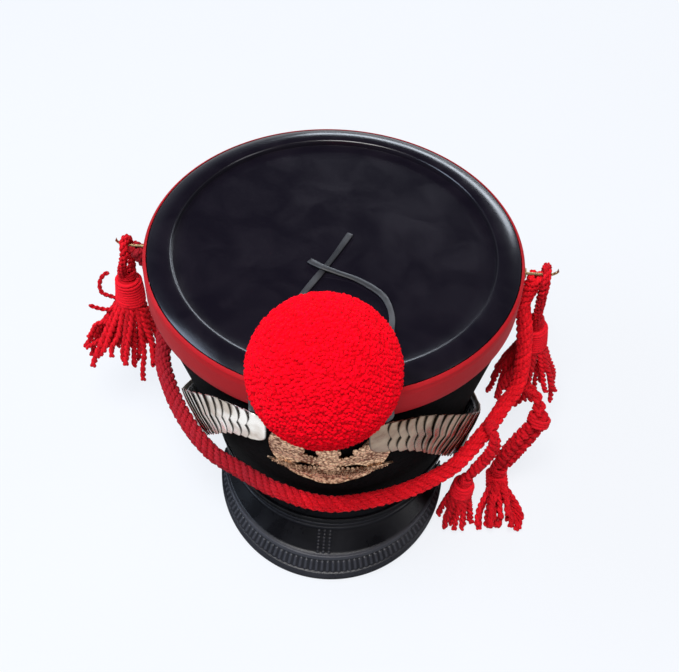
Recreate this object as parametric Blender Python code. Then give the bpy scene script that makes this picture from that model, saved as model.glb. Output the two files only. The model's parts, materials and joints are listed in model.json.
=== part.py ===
"""A shako: a tall felt cap, wider at the crown than at the head, with a leather crown, bands and peak.

Metres, +Z up, front towards -Y. The cap's own frame has its rim in the plane z = 0, and its angles run
from the front round to +X. The cap rests on the rear of its rim and on the tip of its peak, so that
frame leans back on the floor. Cords and tassels hang and lie, so they are given in the floor's frame.
"""
import math

import bmesh
import bpy
from mathutils import Matrix, Vector

MM = 0.001
GAP = 0.3 * MM
SIDES = 40

# Felt body
BASE_HALF_WIDTH = 86.3 * MM
BASE_HALF_DEPTH = 99.5 * MM
FELT_TOP_RADIUS = 122.9 * MM
FELT_THICKNESS = 2.5 * MM
CROWN_HEIGHT = 180.4 * MM
CROWN_SHIFT = -4.0 * MM
CROWN_LEAN = math.radians(1.5)

# Leather crown, whose raised border surrounds a sunken middle
CROWN_RIM_INSET = 0.4 * MM
CROWN_RIM_DEPTH = 5.0 * MM
CROWN_SINK = 4.4 * MM
CROWN_LEATHER = 2.6 * MM

# Bands
TOP_BAND_WIDTH = 24.2 * MM
TOP_BAND_THICKNESS = 2.3 * MM
TOP_BAND_DROP = 1.5 * MM
BASE_BAND_WIDTH = 20.0 * MM
BASE_BAND_THICKNESS = 1.2 * MM
BASE_BEAD = 0.4 * MM

# Peak
PEAK_LENGTH = 45.0 * MM
PEAK_SLOPE = math.radians(37.5)
PEAK_HALF_ANGLE = math.radians(68.5)
PEAK_FULLNESS = 0.76
PEAK_THICKNESS = 2.6 * MM
PEAK_ROOT_RISE = 1.5 * MM
PEAK_END_REACH = 7.0 * MM
PEAK_EDGE_BEVEL = 0.7 * MM
PEAK_RIDGE = 1.1 * MM
PEAK_LIP_HEIGHT = 3.0 * MM
PEAK_LIP_THICKNESS = 1.4 * MM
PEAK_COLUMNS = 28

# Front plate
PLATE_HALF_WIDTH = 41.0 * MM
PLATE_HEIGHT = 84.0 * MM
PLATE_CENTRE = 3.0 * MM
PLATE_FOOT = 62.0 * MM
PLATE_RELIEF = 2.6 * MM
PLATE_STANDOFF = 0.5 * MM
PLATE_STRIP = 14.0 * MM
PLATE_STRIP_START = 0.37
FEATHER_HALF_WIDTH = 1.45 * MM
FEATHER_BULGE = 0.3

# Pompom and its stem
POMPOM_RADIUS = 43.0 * MM
POMPOM_TUFT = 1.8 * MM
POMPOM_SIDE = 2.4 * MM
POMPOM_STANDOUT = 16.7 * MM
POMPOM_RISE = 41.8 * MM
STEM_RADIUS = 2.2 * MM
STEM_TAB_HALF_WIDTH = 6.0 * MM
STEM_TAB_FOOT_SHARE = 0.8
STEM_TAB_THICKNESS = 3.0 * MM
STEM_TAB_FOOT_DROP = 20.4 * MM
STEM_TAB_TOP_DROP = 7.4 * MM
STEM_BEND_DROP = 2.4 * MM
STEM_DEPTH = 14.0 * MM
STEM_SIDES = 12

# Chin straps under overlapping scales
SCALE_HALF_WIDTH = 19.0 * MM
SCALE_PITCH = 5.7 * MM
SCALE_THICKNESS = 1.0 * MM
SCALE_STEP = 1.3 * MM
SCALE_UNDER = 0.6 * MM
SCALE_CROWN = 0.9 * MM
SCALE_TUCK = 0.06
STRAP_THICKNESS = 1.6 * MM
STRAP_GAP = 0.6 * MM
STRAP_STANDOFF = 9.0 * MM
STRAP_WIDTH_SHARE = 0.88
BOSS_RADIUS = 17.0 * MM
BOSS_HEIGHT = 5.5 * MM
BOSS_SIDES = 16

# Hooks
HOOK_DROP = 15.9 * MM
HOOK_REACH = 22.0 * MM
HOOK_WIRE = 1.0 * MM
HOOK_FLANGE = 3.6 * MM
HOOK_SIDES = 8

# Laces, thongs that run from the scales over the crown
LACE_HALF_WIDTH = 2.0 * MM
LACE_THICKNESS = 1.2 * MM
LACE_START = 4.2 * MM

# Cords and tassels
SWAG_RADIUS = 6.0 * MM
LOOP_RADIUS = 2.6 * MM
DROP_RADIUS_A = 7.0 * MM
DROP_RADIUS_B = 5.0 * MM
TASSEL_HEAD = 10.0 * MM
TASSEL_LOCKS = 10
FLOOR_CLEARANCE = 0.5 * MM

# The crown's border fills the felt; the pompom and the stem stand off the band
CROWN_RIM_RADIUS = FELT_TOP_RADIUS - CROWN_RIM_INSET

# Height from which the felt stands straight up, under the band
BAND_BOTTOM = CROWN_HEIGHT - TOP_BAND_DROP - TOP_BAND_WIDTH
BAND_RADIUS = FELT_TOP_RADIUS + GAP + TOP_BAND_THICKNESS
BASE_BAND_FACE = GAP + BASE_BAND_THICKNESS + BASE_BEAD

# Crown section: share of the rim's radius, drop as a share of the sink
CROWN_TOP_ROWS = [(0.20, 0.92), (0.855, 1.00), (0.868, 0.80), (0.880, 0.25), (0.90, 0.05), (0.955, 0.00),
                  (0.985, 0.12), (1.00, 0.42)]
CROWN_UNDER_SHARE = 0.855

# Top band outline: share of its thickness, share of its width
TOP_BAND_OUTLINE = [(0.0, 0.0), (0.75, 0.0), (1.0, 0.04), (1.0, 0.95), (0.7, 1.0), (0.0, 1.0)]

# Base band face: share of its width, share of the bead's rise
BASE_BAND_FACE_ROWS = [(0.0, 1.0), (0.15, 1.0), (0.20, 0.0), (0.80, 0.0), (0.85, 1.0), (1.0, 1.0)]

# Upper side of the peak between its lip and its edge: share of the way, share of the ridge's rise
PEAK_ROWS = [(0.0, 0.0), (0.58, 0.0), (0.62, 1.0), (0.67, 0.9), (0.70, 0.1), (0.90, 0.1)]

# Line of each chin strap: angle from the front, height as a share of the felt below the band,
# distance from the felt as a share of the standoff, width as a share of the scales' width
STRAP_ROWS = [(90.0, 0.115, 0.59, 1.00), (84.0, 0.160, 0.69, 1.00), (75.0, 0.226, 0.92, 1.00),
              (62.0, 0.375, 1.00, 0.97), (48.0, 0.582, 0.82, 0.90), (35.0, 0.756, 0.64, 0.80),
              (27.0, 0.827, 0.55, 0.73), (18.5, 0.853, 0.47, 0.66)]

# Across one scale: share of its half width, lead of its edge as a share of the pitch, share of the crown
SCALE_ACROSS = [(-1.0, 0.0, 0.0), (0.0, -0.25, 1.0), (1.0, 0.0, 0.0)]

# Rounded end of the last scale: share of the way along it, share of its width
SCALE_END_ROWS = [(0.5, 0.86), (1.0, 0.45)]

# Boss: share of its radius, share of its height
BOSS_ROWS = [(0.94, 0.0), (1.0, 0.12), (0.94, 0.34), (0.70, 0.36), (0.60, 0.62), (0.34, 0.94), (0.12, 1.0)]

# Hook: share of its reach outwards, share of its reach upwards, 1 for the flange or a share of the wire
HOOK_ROWS = [(0.0, 0.0, "flange", 1.0), (0.05, 0.0, "flange", 1.0), (0.07, 0.0, "wire", 1.0),
             (0.62, 0.0, "wire", 1.0), (0.86, 0.04, "wire", 1.0), (0.96, 0.12, "wire", 1.0),
             (1.0, 0.22, "wire", 1.3)]

# Tassels: share of the length, half width and half depth as shares of the head's, depth of the locks
TASSEL_HANGING = [(0.00, 0.55, 0.55, 0.00), (0.03, 0.92, 0.92, 0.00), (0.29, 1.10, 1.00, 0.04),
                  (0.31, 0.98, 0.92, 0.10), (0.36, 1.25, 1.05, 0.22), (0.55, 1.75, 1.35, 0.26),
                  (0.78, 2.45, 1.75, 0.28), (1.00, 2.85, 2.05, 0.30)]
TASSEL_LYING = [(0.00, 0.50, 0.50, 0.00), (0.04, 0.78, 0.78, 0.00), (0.28, 0.84, 0.80, 0.04),
                (0.32, 0.70, 0.66, 0.10), (0.42, 0.95, 0.78, 0.22), (0.68, 1.45, 0.78, 0.28),
                (0.88, 1.72, 0.66, 0.30), (1.00, 1.68, 0.50, 0.32)]
TASSEL_STANDING = [(0.00, 0.50, 0.50, 0.00), (0.04, 0.78, 0.78, 0.00), (0.30, 0.84, 0.82, 0.04),
                   (0.34, 0.72, 0.70, 0.10), (0.44, 0.86, 0.84, 0.22), (0.72, 1.05, 0.98, 0.28),
                   (0.92, 1.20, 1.15, 0.30), (1.00, 1.30, 1.25, 0.32)]

# End of a skirt: how far long and short locks part, the shrink of its edge, depth and width of its hollow
TASSEL_END_DROP = 0.03
TASSEL_END_SHRINK = 0.97
TASSEL_END_HOLLOW = 0.05
TASSEL_END_CORE = 0.60

# Routes in the floor's frame, millimetres
SWAG_ROUTE = [(-138.4, 19.4, 173.6), (-138.3, 19.4, 169.5), (-135.8, 19, 161), (-133.4, 15, 148),
              (-131.5, 8, 132), (-131, -1, 116), (-130, -13, 104), (-127, -26.3, 98.8), (-119, -37.6, 99.5),
              (-109, -53.2, 97), (-99.8, -66, 94),
              (-89.5, -77.5, 91), (-77, -86.2, 84), (-63, -91, 78), (-49, -96.5, 74), (-38, -101, 72),
              (-27, -104, 71), (-17, -106.2, 69), (-5, -107.3, 67), (7, -107, 66), (22, -104.6, 67),
              (38, -100, 67), (52, -94.5, 67.5), (65, -88, 68), (77, -80.5, 69), (87.8, -73.2, 72),
              (97.4, -63.2, 77), (106.6, -51.8, 81.5), (113.4, -41.6, 82), (121, -28, 83), (129, -16, 86),
              (131.5, -6, 98), (131, 3, 114), (128.5, 10.5, 132), (125, 15.5, 147), (127.4, 18.5, 158),
              (129.8, 19.4, 167), (129.9, 19.4, 173.6)]
LOOP_LEFT_ROUTE = [(-150.2, 16, 140.5), (-150.2, 15.8, 144), (-149, 13.6, 153), (-146.8, 12.8, 165),
                   (-146, 13.6, 173.4), (-146.2, 16.2, 178.4), (-146.6, 19.4, 179.9), (-147.2, 22.6, 178.4),
                   (-148.8, 25.2, 173.4), (-150.8, 25.8, 165), (-152, 24.6, 153), (-150.8, 22.8, 144),
                   (-150.6, 22.8, 140.5)]
LOOP_RIGHT_ROUTE = [(138, 16, 119.8), (138, 15.8, 123.5), (137.4, 13.6, 133), (136.6, 12.2, 150),
                    (136, 11.4, 166), (136, 12.4, 174), (136.2, 15.6, 178.4), (136.4, 19.4, 179.5),
                    (136.6, 23.4, 178.4), (136.8, 26.6, 174), (137.2, 27.4, 166), (138, 26, 150),
                    (138.6, 24, 133), (138.2, 22.6, 123.5), (138.2, 22.6, 119.8)]
DROP_A_ROUTE = [(136.2, -16.5, 87.5, 0.45), (138.6, -16.2, 87.8, 0.5), (142, -18, 87.7, 0.5),
                (144.2, -22.5, 86.6, 0.5), (145.6, -28.5, 84.6, 0.6), (146.6, -36, 80.6, 0.95),
                (142.5, -39, 69, 1.0), (135.5, -42, 51.5, 1.1), (129.2, -44, 32, 0.95),
                (125.6, -46.5, 22, 0.6), (125.5, -47, 18.9, 0.55)]
DROP_B_ROUTE = [(108.0, -47.8, 89.4, 0.6), (110, -51.8, 93.2, 0.65), (113, -57.2, 91, 0.8),
                (114.2, -61, 81, 1.0), (111.4, -62.8, 70, 1.15), (106.4, -65.4, 60, 1.1),
                (101.2, -68.6, 51, 0.9), (98.6, -70.8, 46.5, 0.7), (98.2, -71.2, 44.2, 0.6)]
TASSEL_LEFT_AXIS = [(-150.2, 19.4, 140), (-151, 18.6, 112), (-160, 12, 58)]
TASSEL_RIGHT_AXIS = [(138.1, 19.4, 119.3), (139.4, 18.4, 95), (139.5, 13, 42)]
TASSEL_A_AXIS = [(125, -41.5, 10.2), (126, -56, 9.2), (127.5, -86, 6.4)]
TASSEL_B_AXIS = [(98, -71.4, 43.8), (96.4, -74, 28), (95, -82, 1.2)]

for old in list(bpy.data.objects):
    bpy.data.objects.remove(old)


def finish(name, colour, roughness, metallic=0.0):
    """A plain surface for one piece."""
    material = bpy.data.materials.new(name)
    material.use_nodes = True
    shader = material.node_tree.nodes["Principled BSDF"]
    shader.inputs["Base Color"].default_value = (*colour, 1.0)
    shader.inputs["Roughness"].default_value = roughness
    shader.inputs["Metallic"].default_value = metallic
    return material


felt = finish("black_felt", (0.008, 0.008, 0.010), 0.95)
black_leather = finish("black_leather", (0.010, 0.010, 0.014), 0.35)
red_leather = finish("red_band", (0.40, 0.035, 0.045), 0.7)
red_wool = finish("red_wool", (0.62, 0.008, 0.015), 0.95)
red_cord = finish("red_cord", (0.48, 0.008, 0.016), 0.9)
silver = finish("silvered_scales", (0.72, 0.66, 0.58), 0.3, 1.0)
gilt = finish("gilt_plate", (0.62, 0.42, 0.22), 0.4, 1.0)
brass = finish("brass_wire", (0.70, 0.52, 0.25), 0.35, 1.0)

floor_frame = bpy.data.objects.new("floor_frame", None)
cap_frame = bpy.data.objects.new("cap_frame", None)
for frame in (floor_frame, cap_frame):
    bpy.context.collection.objects.link(frame)
cap_frame.parent = floor_frame


def place(name, mesh, material, frame, smooth_angle=40.0):
    """Puts a mesh into the scene as one named piece."""
    item = bpy.data.objects.new(name, mesh)
    bpy.context.collection.objects.link(item)
    item.data.materials.append(material)
    item.parent = frame
    mesh.shade_smooth()
    mesh.set_sharp_from_angle(angle=math.radians(smooth_angle))
    return item


def loft_mesh(name, rings, ring_path=False):
    """One closed body through rings with equal numbers of points, with flat ends unless the path closes."""
    shape = bmesh.new()
    rows = [[shape.verts.new(point) for point in ring] for ring in rings]
    followers = rows[1:] + rows[:1] if ring_path else rows[1:]
    for row, follower in zip(rows, followers):
        for index in range(len(row)):
            after = (index + 1) % len(row)
            shape.faces.new((row[index], row[after], follower[after], follower[index]))
    if not ring_path:
        shape.faces.new(list(reversed(rows[0])))
        shape.faces.new(rows[-1])
    bmesh.ops.recalc_face_normals(shape, faces=shape.faces)
    mesh = bpy.data.meshes.new(name)
    shape.to_mesh(mesh)
    shape.free()
    return mesh


def loft(name, rings, material, frame, ring_path=False):
    return place(name, loft_mesh(name, rings, ring_path), material, frame)


def angles(count=SIDES):
    return [2 * math.pi * index / count for index in range(count)]


def oval_normal(angle):
    """Level direction out of the rim's oval."""
    return Vector((math.sin(angle) / BASE_HALF_WIDTH, -math.cos(angle) / BASE_HALF_DEPTH, 0)).normalized()


def rim_point(angle, offset, height):
    """Point at a level distance from the rim's oval."""
    on_oval = Vector((BASE_HALF_WIDTH * math.sin(angle), -BASE_HALF_DEPTH * math.cos(angle), height))
    return on_oval + oval_normal(angle) * offset


def crown_point(angle, radius, height):
    """Point round the crown, whose plane leans down towards +X."""
    across = radius * math.sin(angle)
    return Vector((CROWN_SHIFT + across, -radius * math.cos(angle), height - across * math.tan(CROWN_LEAN)))


def wall(angle, height, offset=0.0):
    """Point of the felt's outer face below the band, or at a level distance from it."""
    share = height / BAND_BOTTOM
    straight = rim_point(angle, 0, 0).lerp(crown_point(angle, FELT_TOP_RADIUS, BAND_BOTTOM), share)
    return straight + oval_normal(angle) * offset


def wall_normal(angle, height):
    """Direction square to the felt's outer face."""
    step = 0.001
    along = wall(angle + step, height) - wall(angle - step, height)
    up = wall(angle, height + step) - wall(angle, height - step)
    return along.cross(up).normalized()


def smooth_line(points, steps):
    """Points of a smooth curve through the given rows, steps of them for each span."""
    rows = [Vector(row) for row in points]
    ends = [rows[0] * 2 - rows[1]] + rows + [rows[-1] * 2 - rows[-2]]
    line = []
    for before, start, end, after in zip(ends, ends[1:], ends[2:], ends[3:]):
        for index in range(steps):
            share = index / steps
            square = share * share
            cube = square * share
            bend = 2 * before - 5 * start + 4 * end - after
            twist = 3 * start - before - 3 * end + after
            line.append(0.5 * (2 * start + (end - before) * share + bend * square + twist * cube))
    line.append(rows[-1])
    return line


def felt_body():
    """The felt: straight from the rim to the band, upright inside the band, open below."""
    top = CROWN_HEIGHT - CROWN_RIM_DEPTH - GAP
    rings = []
    for angle in angles():
        outside = [wall(angle, 0), wall(angle, BAND_BOTTOM), crown_point(angle, FELT_TOP_RADIUS, top)]
        inside = [crown_point(angle, FELT_TOP_RADIUS - FELT_THICKNESS, top),
                  wall(angle, BAND_BOTTOM, -FELT_THICKNESS), wall(angle, 0, -FELT_THICKNESS)]
        rings.append(outside + inside)
    loft("body", rings, felt, cap_frame, ring_path=True)


def crown_top():
    """The leather disc that closes the felt: a rounded border round a sunken middle."""
    felt_bore = FELT_TOP_RADIUS - FELT_THICKNESS
    rows = [(CROWN_RIM_RADIUS * share, CROWN_HEIGHT - CROWN_SINK * drop) for share, drop in CROWN_TOP_ROWS]
    rows.append((CROWN_RIM_RADIUS, CROWN_HEIGHT - CROWN_RIM_DEPTH))
    rows.append((felt_bore - 2 * GAP, CROWN_HEIGHT - CROWN_RIM_DEPTH))
    rows.append((CROWN_RIM_RADIUS * CROWN_UNDER_SHARE, CROWN_HEIGHT - CROWN_SINK - CROWN_LEATHER))
    rows.append((CROWN_RIM_RADIUS * CROWN_TOP_ROWS[0][0], CROWN_HEIGHT - CROWN_SINK - CROWN_LEATHER))
    rings = [[crown_point(angle, radius, height) for angle in angles()] for radius, height in rows]
    loft("crown_top", rings, black_leather, cap_frame)


def crown_surface(radius):
    """Height of the crown's upper side at a distance from its middle, before the lean."""
    rows = [(CROWN_RIM_RADIUS * share, CROWN_HEIGHT - CROWN_SINK * drop) for share, drop in CROWN_TOP_ROWS]
    if radius <= rows[0][0]:
        return rows[0][1]
    for (inner, height), (outer, next_height) in zip(rows, rows[1:]):
        if radius <= outer:
            return height + (next_height - height) * (radius - inner) / (outer - inner)
    return rows[-1][1]


def bands():
    """The red band under the crown and the leather band round the head opening."""
    inner = FELT_TOP_RADIUS + GAP
    rings = [[crown_point(angle, inner + TOP_BAND_THICKNESS * out, BAND_BOTTOM + TOP_BAND_WIDTH * up)
              for out, up in TOP_BAND_OUTLINE] for angle in angles()]
    loft("top_band", rings, red_leather, cap_frame, ring_path=True)
    rings = []
    for angle in angles():
        face = [wall(angle, BASE_BAND_WIDTH * up, GAP + BASE_BAND_THICKNESS + BASE_BEAD * rise)
                for up, rise in BASE_BAND_FACE_ROWS]
        rings.append(face + [wall(angle, BASE_BAND_WIDTH, GAP), wall(angle, 0, GAP)])
    loft("base_band", rings, black_leather, cap_frame, ring_path=True)


def slope_point(angle, along, rise):
    """Point of the peak: a distance down its slope from the rim's oval, and a rise square to the slope."""
    out = along * math.cos(PEAK_SLOPE) + rise * math.sin(PEAK_SLOPE)
    up = PEAK_ROOT_RISE - along * math.sin(PEAK_SLOPE) + rise * math.cos(PEAK_SLOPE)
    return rim_point(angle, out, up)


def peak_reach(angle):
    return PEAK_LENGTH * math.cos(0.5 * math.pi * angle / PEAK_HALF_ANGLE) ** PEAK_FULLNESS


def peak_section(angle):
    """Outline of the peak at one angle: lip against the band, ridged upper side, edge and underside."""
    root = BASE_BAND_FACE + GAP
    felt_lean = (FELT_TOP_RADIUS - BASE_HALF_WIDTH) / BAND_BOTTOM
    lip_foot = root + PEAK_LIP_THICKNESS + PEAK_LIP_HEIGHT * felt_lean + PEAK_EDGE_BEVEL
    start = lip_foot / math.cos(PEAK_SLOPE)
    reach = peak_reach(angle)
    span = reach - PEAK_EDGE_BEVEL - start
    outline = [wall(angle, PEAK_LIP_HEIGHT, root), wall(angle, PEAK_LIP_HEIGHT, root + PEAK_LIP_THICKNESS)]
    outline += [slope_point(angle, start + span * share, PEAK_RIDGE * rise) for share, rise in PEAK_ROWS]
    outline.append(slope_point(angle, reach - PEAK_EDGE_BEVEL, 0))
    outline.append(slope_point(angle, reach, -PEAK_EDGE_BEVEL))
    outline.append(slope_point(angle, reach, -PEAK_THICKNESS))
    below = (root + PEAK_THICKNESS * math.sin(PEAK_SLOPE)) / math.cos(PEAK_SLOPE)
    outline.append(slope_point(angle, below, -PEAK_THICKNESS))
    return outline


def peak():
    """The leather peak, ending at each side where it has narrowed to a short root."""
    narrowing = math.acos((PEAK_END_REACH / PEAK_LENGTH) ** (1 / PEAK_FULLNESS)) / (0.5 * math.pi)
    end = PEAK_HALF_ANGLE * narrowing
    rings = [peak_section(end * (2 * index / PEAK_COLUMNS - 1)) for index in range(PEAK_COLUMNS + 1)]
    loft("peak", rings, black_leather, cap_frame)


# Plate outlines: shares of its half width and of its height, and the height of the relief as a share
WING = [(0.06, 0.50), (0.12, 0.66), (0.30, 0.75), (0.52, 0.745), (0.74, 0.68), (0.88, 0.57), (0.93, 0.46),
        (0.87, 0.35), (0.80, 0.275), (0.66, 0.28), (0.56, 0.37), (0.44, 0.43), (0.30, 0.42), (0.18, 0.36),
        (0.06, 0.36)]
FEATHERS = [(0.78, 0.35, 0.83, 0.59), (0.63, 0.37, 0.66, 0.68), (0.485, 0.43, 0.49, 0.715),
            (0.34, 0.45, 0.33, 0.72)]
BREAST = [(-0.16, 0.44), (-0.19, 0.56), (-0.15, 0.68), (-0.10, 0.77), (-0.11, 0.86), (-0.17, 0.885),
          (-0.06, 0.925), (0.05, 0.91), (0.11, 0.85), (0.11, 0.77), (0.16, 0.67), (0.19, 0.56), (0.16, 0.44),
          (0.07, 0.34), (-0.07, 0.34)]
BOLT = [(-1.0, 0.262), (-0.72, 0.30), (-0.40, 0.275), (0.0, 0.285), (0.40, 0.275), (0.72, 0.30), (1.0, 0.262),
        (0.74, 0.225), (0.40, 0.205), (0.0, 0.195), (-0.40, 0.205), (-0.74, 0.225)]
TAIL = [(-0.12, 0.36), (0.12, 0.36), (0.22, 0.20), (0.34, 0.07), (0.17, 0.015), (0.0, 0.0), (-0.17, 0.015),
        (-0.34, 0.07), (-0.22, 0.20)]
FRINGE = [(-0.76, 0.245), (-0.50, 0.235), (-0.24, 0.225), (0.0, 0.215), (0.24, 0.225), (0.50, 0.235),
          (0.76, 0.245), (0.64, 0.135), (0.46, 0.075), (0.24, 0.04), (0.0, 0.03), (-0.24, 0.04),
          (-0.46, 0.075), (-0.64, 0.135)]
LEFT_WING = [(-u, v) for u, v in WING]

# Forms of the plate: outline, height and chamfer as shares of the relief
PLATE_FORMS = [(WING, 0.54, 0.15), (LEFT_WING, 0.54, 0.15), (BREAST, 1.0, 0.35), (BOLT, 0.81, 0.23),
               (TAIL, 0.50, 0.12), (FRINGE, 0.38, 0.12)]
FEATHER_FORM = (0.73, 0.135)


def plate_prism(outline, height, inset):
    """A flat form with a chamfered upper edge, drawn from shares of the plate's half width and height."""
    shape = bmesh.new()
    base = shape.faces.new([shape.verts.new((PLATE_HALF_WIDTH * u, PLATE_HEIGHT * v, 0)) for u, v in outline])
    base.normal_update()
    if base.normal.z < 0:
        base.normal_flip()
    lifted = bmesh.ops.extrude_face_region(shape, geom=[base])
    top_verts = [item for item in lifted["geom"] if isinstance(item, bmesh.types.BMVert)]
    bmesh.ops.translate(shape, verts=top_verts, vec=(0, 0, height - inset))
    top = [item for item in lifted["geom"] if isinstance(item, bmesh.types.BMFace)]
    bmesh.ops.inset_region(shape, faces=top, thickness=inset, depth=inset)
    bmesh.ops.recalc_face_normals(shape, faces=shape.faces)
    mesh = bpy.data.meshes.new("plate_form")
    shape.to_mesh(mesh)
    shape.free()
    return mesh


def feather(side, foot_u, foot_v, tip_u, tip_v):
    """Slim spindle along a feather of the wing."""
    foot = Vector((side * foot_u, foot_v))
    tip = Vector((side * tip_u, tip_v))
    across = Vector((tip.y - foot.y, foot.x - tip.x)).normalized() * FEATHER_HALF_WIDTH
    across.x /= PLATE_HALF_WIDTH
    across.y /= PLATE_HEIGHT
    middle = foot.lerp(tip, FEATHER_BULGE)
    return [foot, middle + across, tip, middle - across]


def plate_wrap(point):
    """From the flat drawing to the front of the felt."""
    height = PLATE_FOOT + point.y
    share = height / BAND_BOTTOM
    half_width = BASE_HALF_WIDTH + (FELT_TOP_RADIUS - BASE_HALF_WIDTH) * share
    angle = math.asin((PLATE_CENTRE + point.x - CROWN_SHIFT * share) / half_width)
    return wall(angle, height) + wall_normal(angle, height) * (PLATE_STANDOFF + point.z)


def plate():
    """Cast plate: a spread bird over a bolt, with a fan of tail and a fringe below, bent to the felt."""
    forms = list(PLATE_FORMS)
    for side in (-1, 1):
        forms += [(feather(side, *row), *FEATHER_FORM) for row in FEATHERS]
    union = None
    for outline, height, chamfer in forms:
        mesh = plate_prism(outline, height * PLATE_RELIEF, chamfer * PLATE_RELIEF)
        form = bpy.data.objects.new("plate_form", mesh)
        bpy.context.collection.objects.link(form)
        form.hide_render = True
        form.display_type = "WIRE"
        if union is None:
            union = form
            continue
        join = union.modifiers.new("join", "BOOLEAN")
        join.operation = "UNION"
        join.object = form
    flat = bpy.data.meshes.new_from_object(union.evaluated_get(bpy.context.evaluated_depsgraph_get()))
    shape = bmesh.new()
    shape.from_mesh(flat)
    strips = math.ceil(PLATE_HALF_WIDTH / PLATE_STRIP)
    for index in range(-strips, strips + 1):
        geometry = shape.verts[:] + shape.edges[:] + shape.faces[:]
        cut = (index + PLATE_STRIP_START) * PLATE_STRIP
        bmesh.ops.bisect_plane(shape, geom=geometry, plane_co=(cut, 0, 0), plane_no=(1, 0, 0), dist=1e-7)
    bmesh.ops.triangulate(shape, faces=shape.faces)
    for vert in shape.verts:
        vert.co = plate_wrap(vert.co)
    mesh = bpy.data.meshes.new("plate")
    shape.to_mesh(mesh)
    shape.free()
    place("plate", mesh, gilt, cap_frame, 30.0)


def pompom_centre():
    return Vector((POMPOM_SIDE, -(BAND_RADIUS + POMPOM_STANDOUT), CROWN_HEIGHT + POMPOM_RISE))


def stem_bend():
    return Vector((POMPOM_SIDE, -(BAND_RADIUS + GAP + STEM_TAB_THICKNESS / 2), CROWN_HEIGHT - STEM_BEND_DROP))


def pompom():
    """A wool ball whose surface stands in tufts, bored for its stem."""
    centre = pompom_centre()
    shape = bmesh.new()
    bmesh.ops.create_icosphere(shape, subdivisions=4, radius=POMPOM_RADIUS)
    coarse = bmesh.new()
    bmesh.ops.create_icosphere(coarse, subdivisions=3, radius=POMPOM_RADIUS)
    tips = {tuple(round(value, 5) for value in vert.co) for vert in coarse.verts}
    coarse.free()
    for vert in shape.verts:
        if tuple(round(value, 5) for value in vert.co) not in tips:
            vert.co *= 1 - POMPOM_TUFT / POMPOM_RADIUS
        vert.co += centre
    mesh = bpy.data.meshes.new("pompom")
    shape.to_mesh(mesh)
    shape.free()
    ball = place("pompom", mesh, red_wool, cap_frame, 80.0)
    inward = (centre - stem_bend()).normalized()
    entry = centre - inward * (POMPOM_RADIUS + 3 * GAP)
    bore_length = STEM_DEPTH + 5 * GAP
    bpy.ops.mesh.primitive_cylinder_add(vertices=STEM_SIDES, radius=STEM_RADIUS + GAP, depth=2 * bore_length)
    cutter = bpy.context.object
    cutter.name = "stem_bore"
    cutter.parent = cap_frame
    cutter.matrix_basis = Matrix.Translation(entry) @ inward.to_track_quat("Z", "Y").to_matrix().to_4x4()
    cutter.hide_render = True
    cutter.display_type = "WIRE"
    bore = ball.modifiers.new("bore", "BOOLEAN")
    bore.object = cutter


def pompom_stem():
    """A flat tab on the band's front that becomes a round rod and leans forward into the ball."""
    bend = stem_bend()
    inward = (pompom_centre() - bend).normalized()
    rod_end = pompom_centre() - inward * (POMPOM_RADIUS - STEM_DEPTH)
    half_thickness = STEM_TAB_THICKNESS / 2
    deep = Vector((0, 1, 0))
    front = inward.cross(Vector((1, 0, 0))).normalized()
    foot = Vector((bend.x, bend.y, CROWN_HEIGHT - STEM_TAB_FOOT_DROP))
    shoulder = foot + Vector((0, 0, STEM_TAB_HALF_WIDTH / 2))
    top = Vector((bend.x, bend.y, CROWN_HEIGHT - STEM_TAB_TOP_DROP))
    rows = [(foot, STEM_TAB_HALF_WIDTH * STEM_TAB_FOOT_SHARE, half_thickness, deep),
            (shoulder, STEM_TAB_HALF_WIDTH, half_thickness, deep),
            (top, STEM_TAB_HALF_WIDTH, half_thickness, deep),
            (bend, STEM_RADIUS, half_thickness, front),
            (bend + inward * STEM_RADIUS * 2, STEM_RADIUS, STEM_RADIUS, front),
            (rod_end, STEM_RADIUS, STEM_RADIUS, front)]
    rings = [[middle + Vector((half_width * math.cos(turn), 0, 0)) + depth_way * half_depth * math.sin(turn)
              for turn in angles(STEM_SIDES)] for middle, half_width, half_depth, depth_way in rows]
    loft("pompom_stem", rings, brass, cap_frame)


def strap_frame(side, share):
    """Place, forward, outward and sideways directions and half width of a chin strap at a share of its line."""
    rows = [Vector(row) for row in STRAP_ROWS]

    def sample(at):
        at = min(max(at, 0.0), 1.0) * (len(rows) - 1)
        span = min(int(at), len(rows) - 2)
        local = at - span
        start, end = rows[span], rows[span + 1]
        before = rows[span - 1] if span else start * 2 - end
        after = rows[span + 2] if span + 2 < len(rows) else end * 2 - start
        bend = 2 * before - 5 * start + 4 * end - after
        twist = 3 * start - before - 3 * end + after
        return 0.5 * (2 * start + (end - before) * local + bend * local ** 2 + twist * local ** 3)

    def spot(at):
        angle, height, distance, _ = sample(at)
        return wall(side * math.radians(angle), BAND_BOTTOM * height, STRAP_STANDOFF * distance)

    angle, height, _, width = sample(share)
    step = 0.002
    forward = (spot(min(share + step, 1)) - spot(max(share - step, 0))).normalized()
    outward = wall_normal(side * math.radians(angle), BAND_BOTTOM * height)
    outward = (outward - forward * outward.dot(forward)).normalized()
    return spot(share), forward, outward, outward.cross(forward), SCALE_HALF_WIDTH * width


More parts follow.
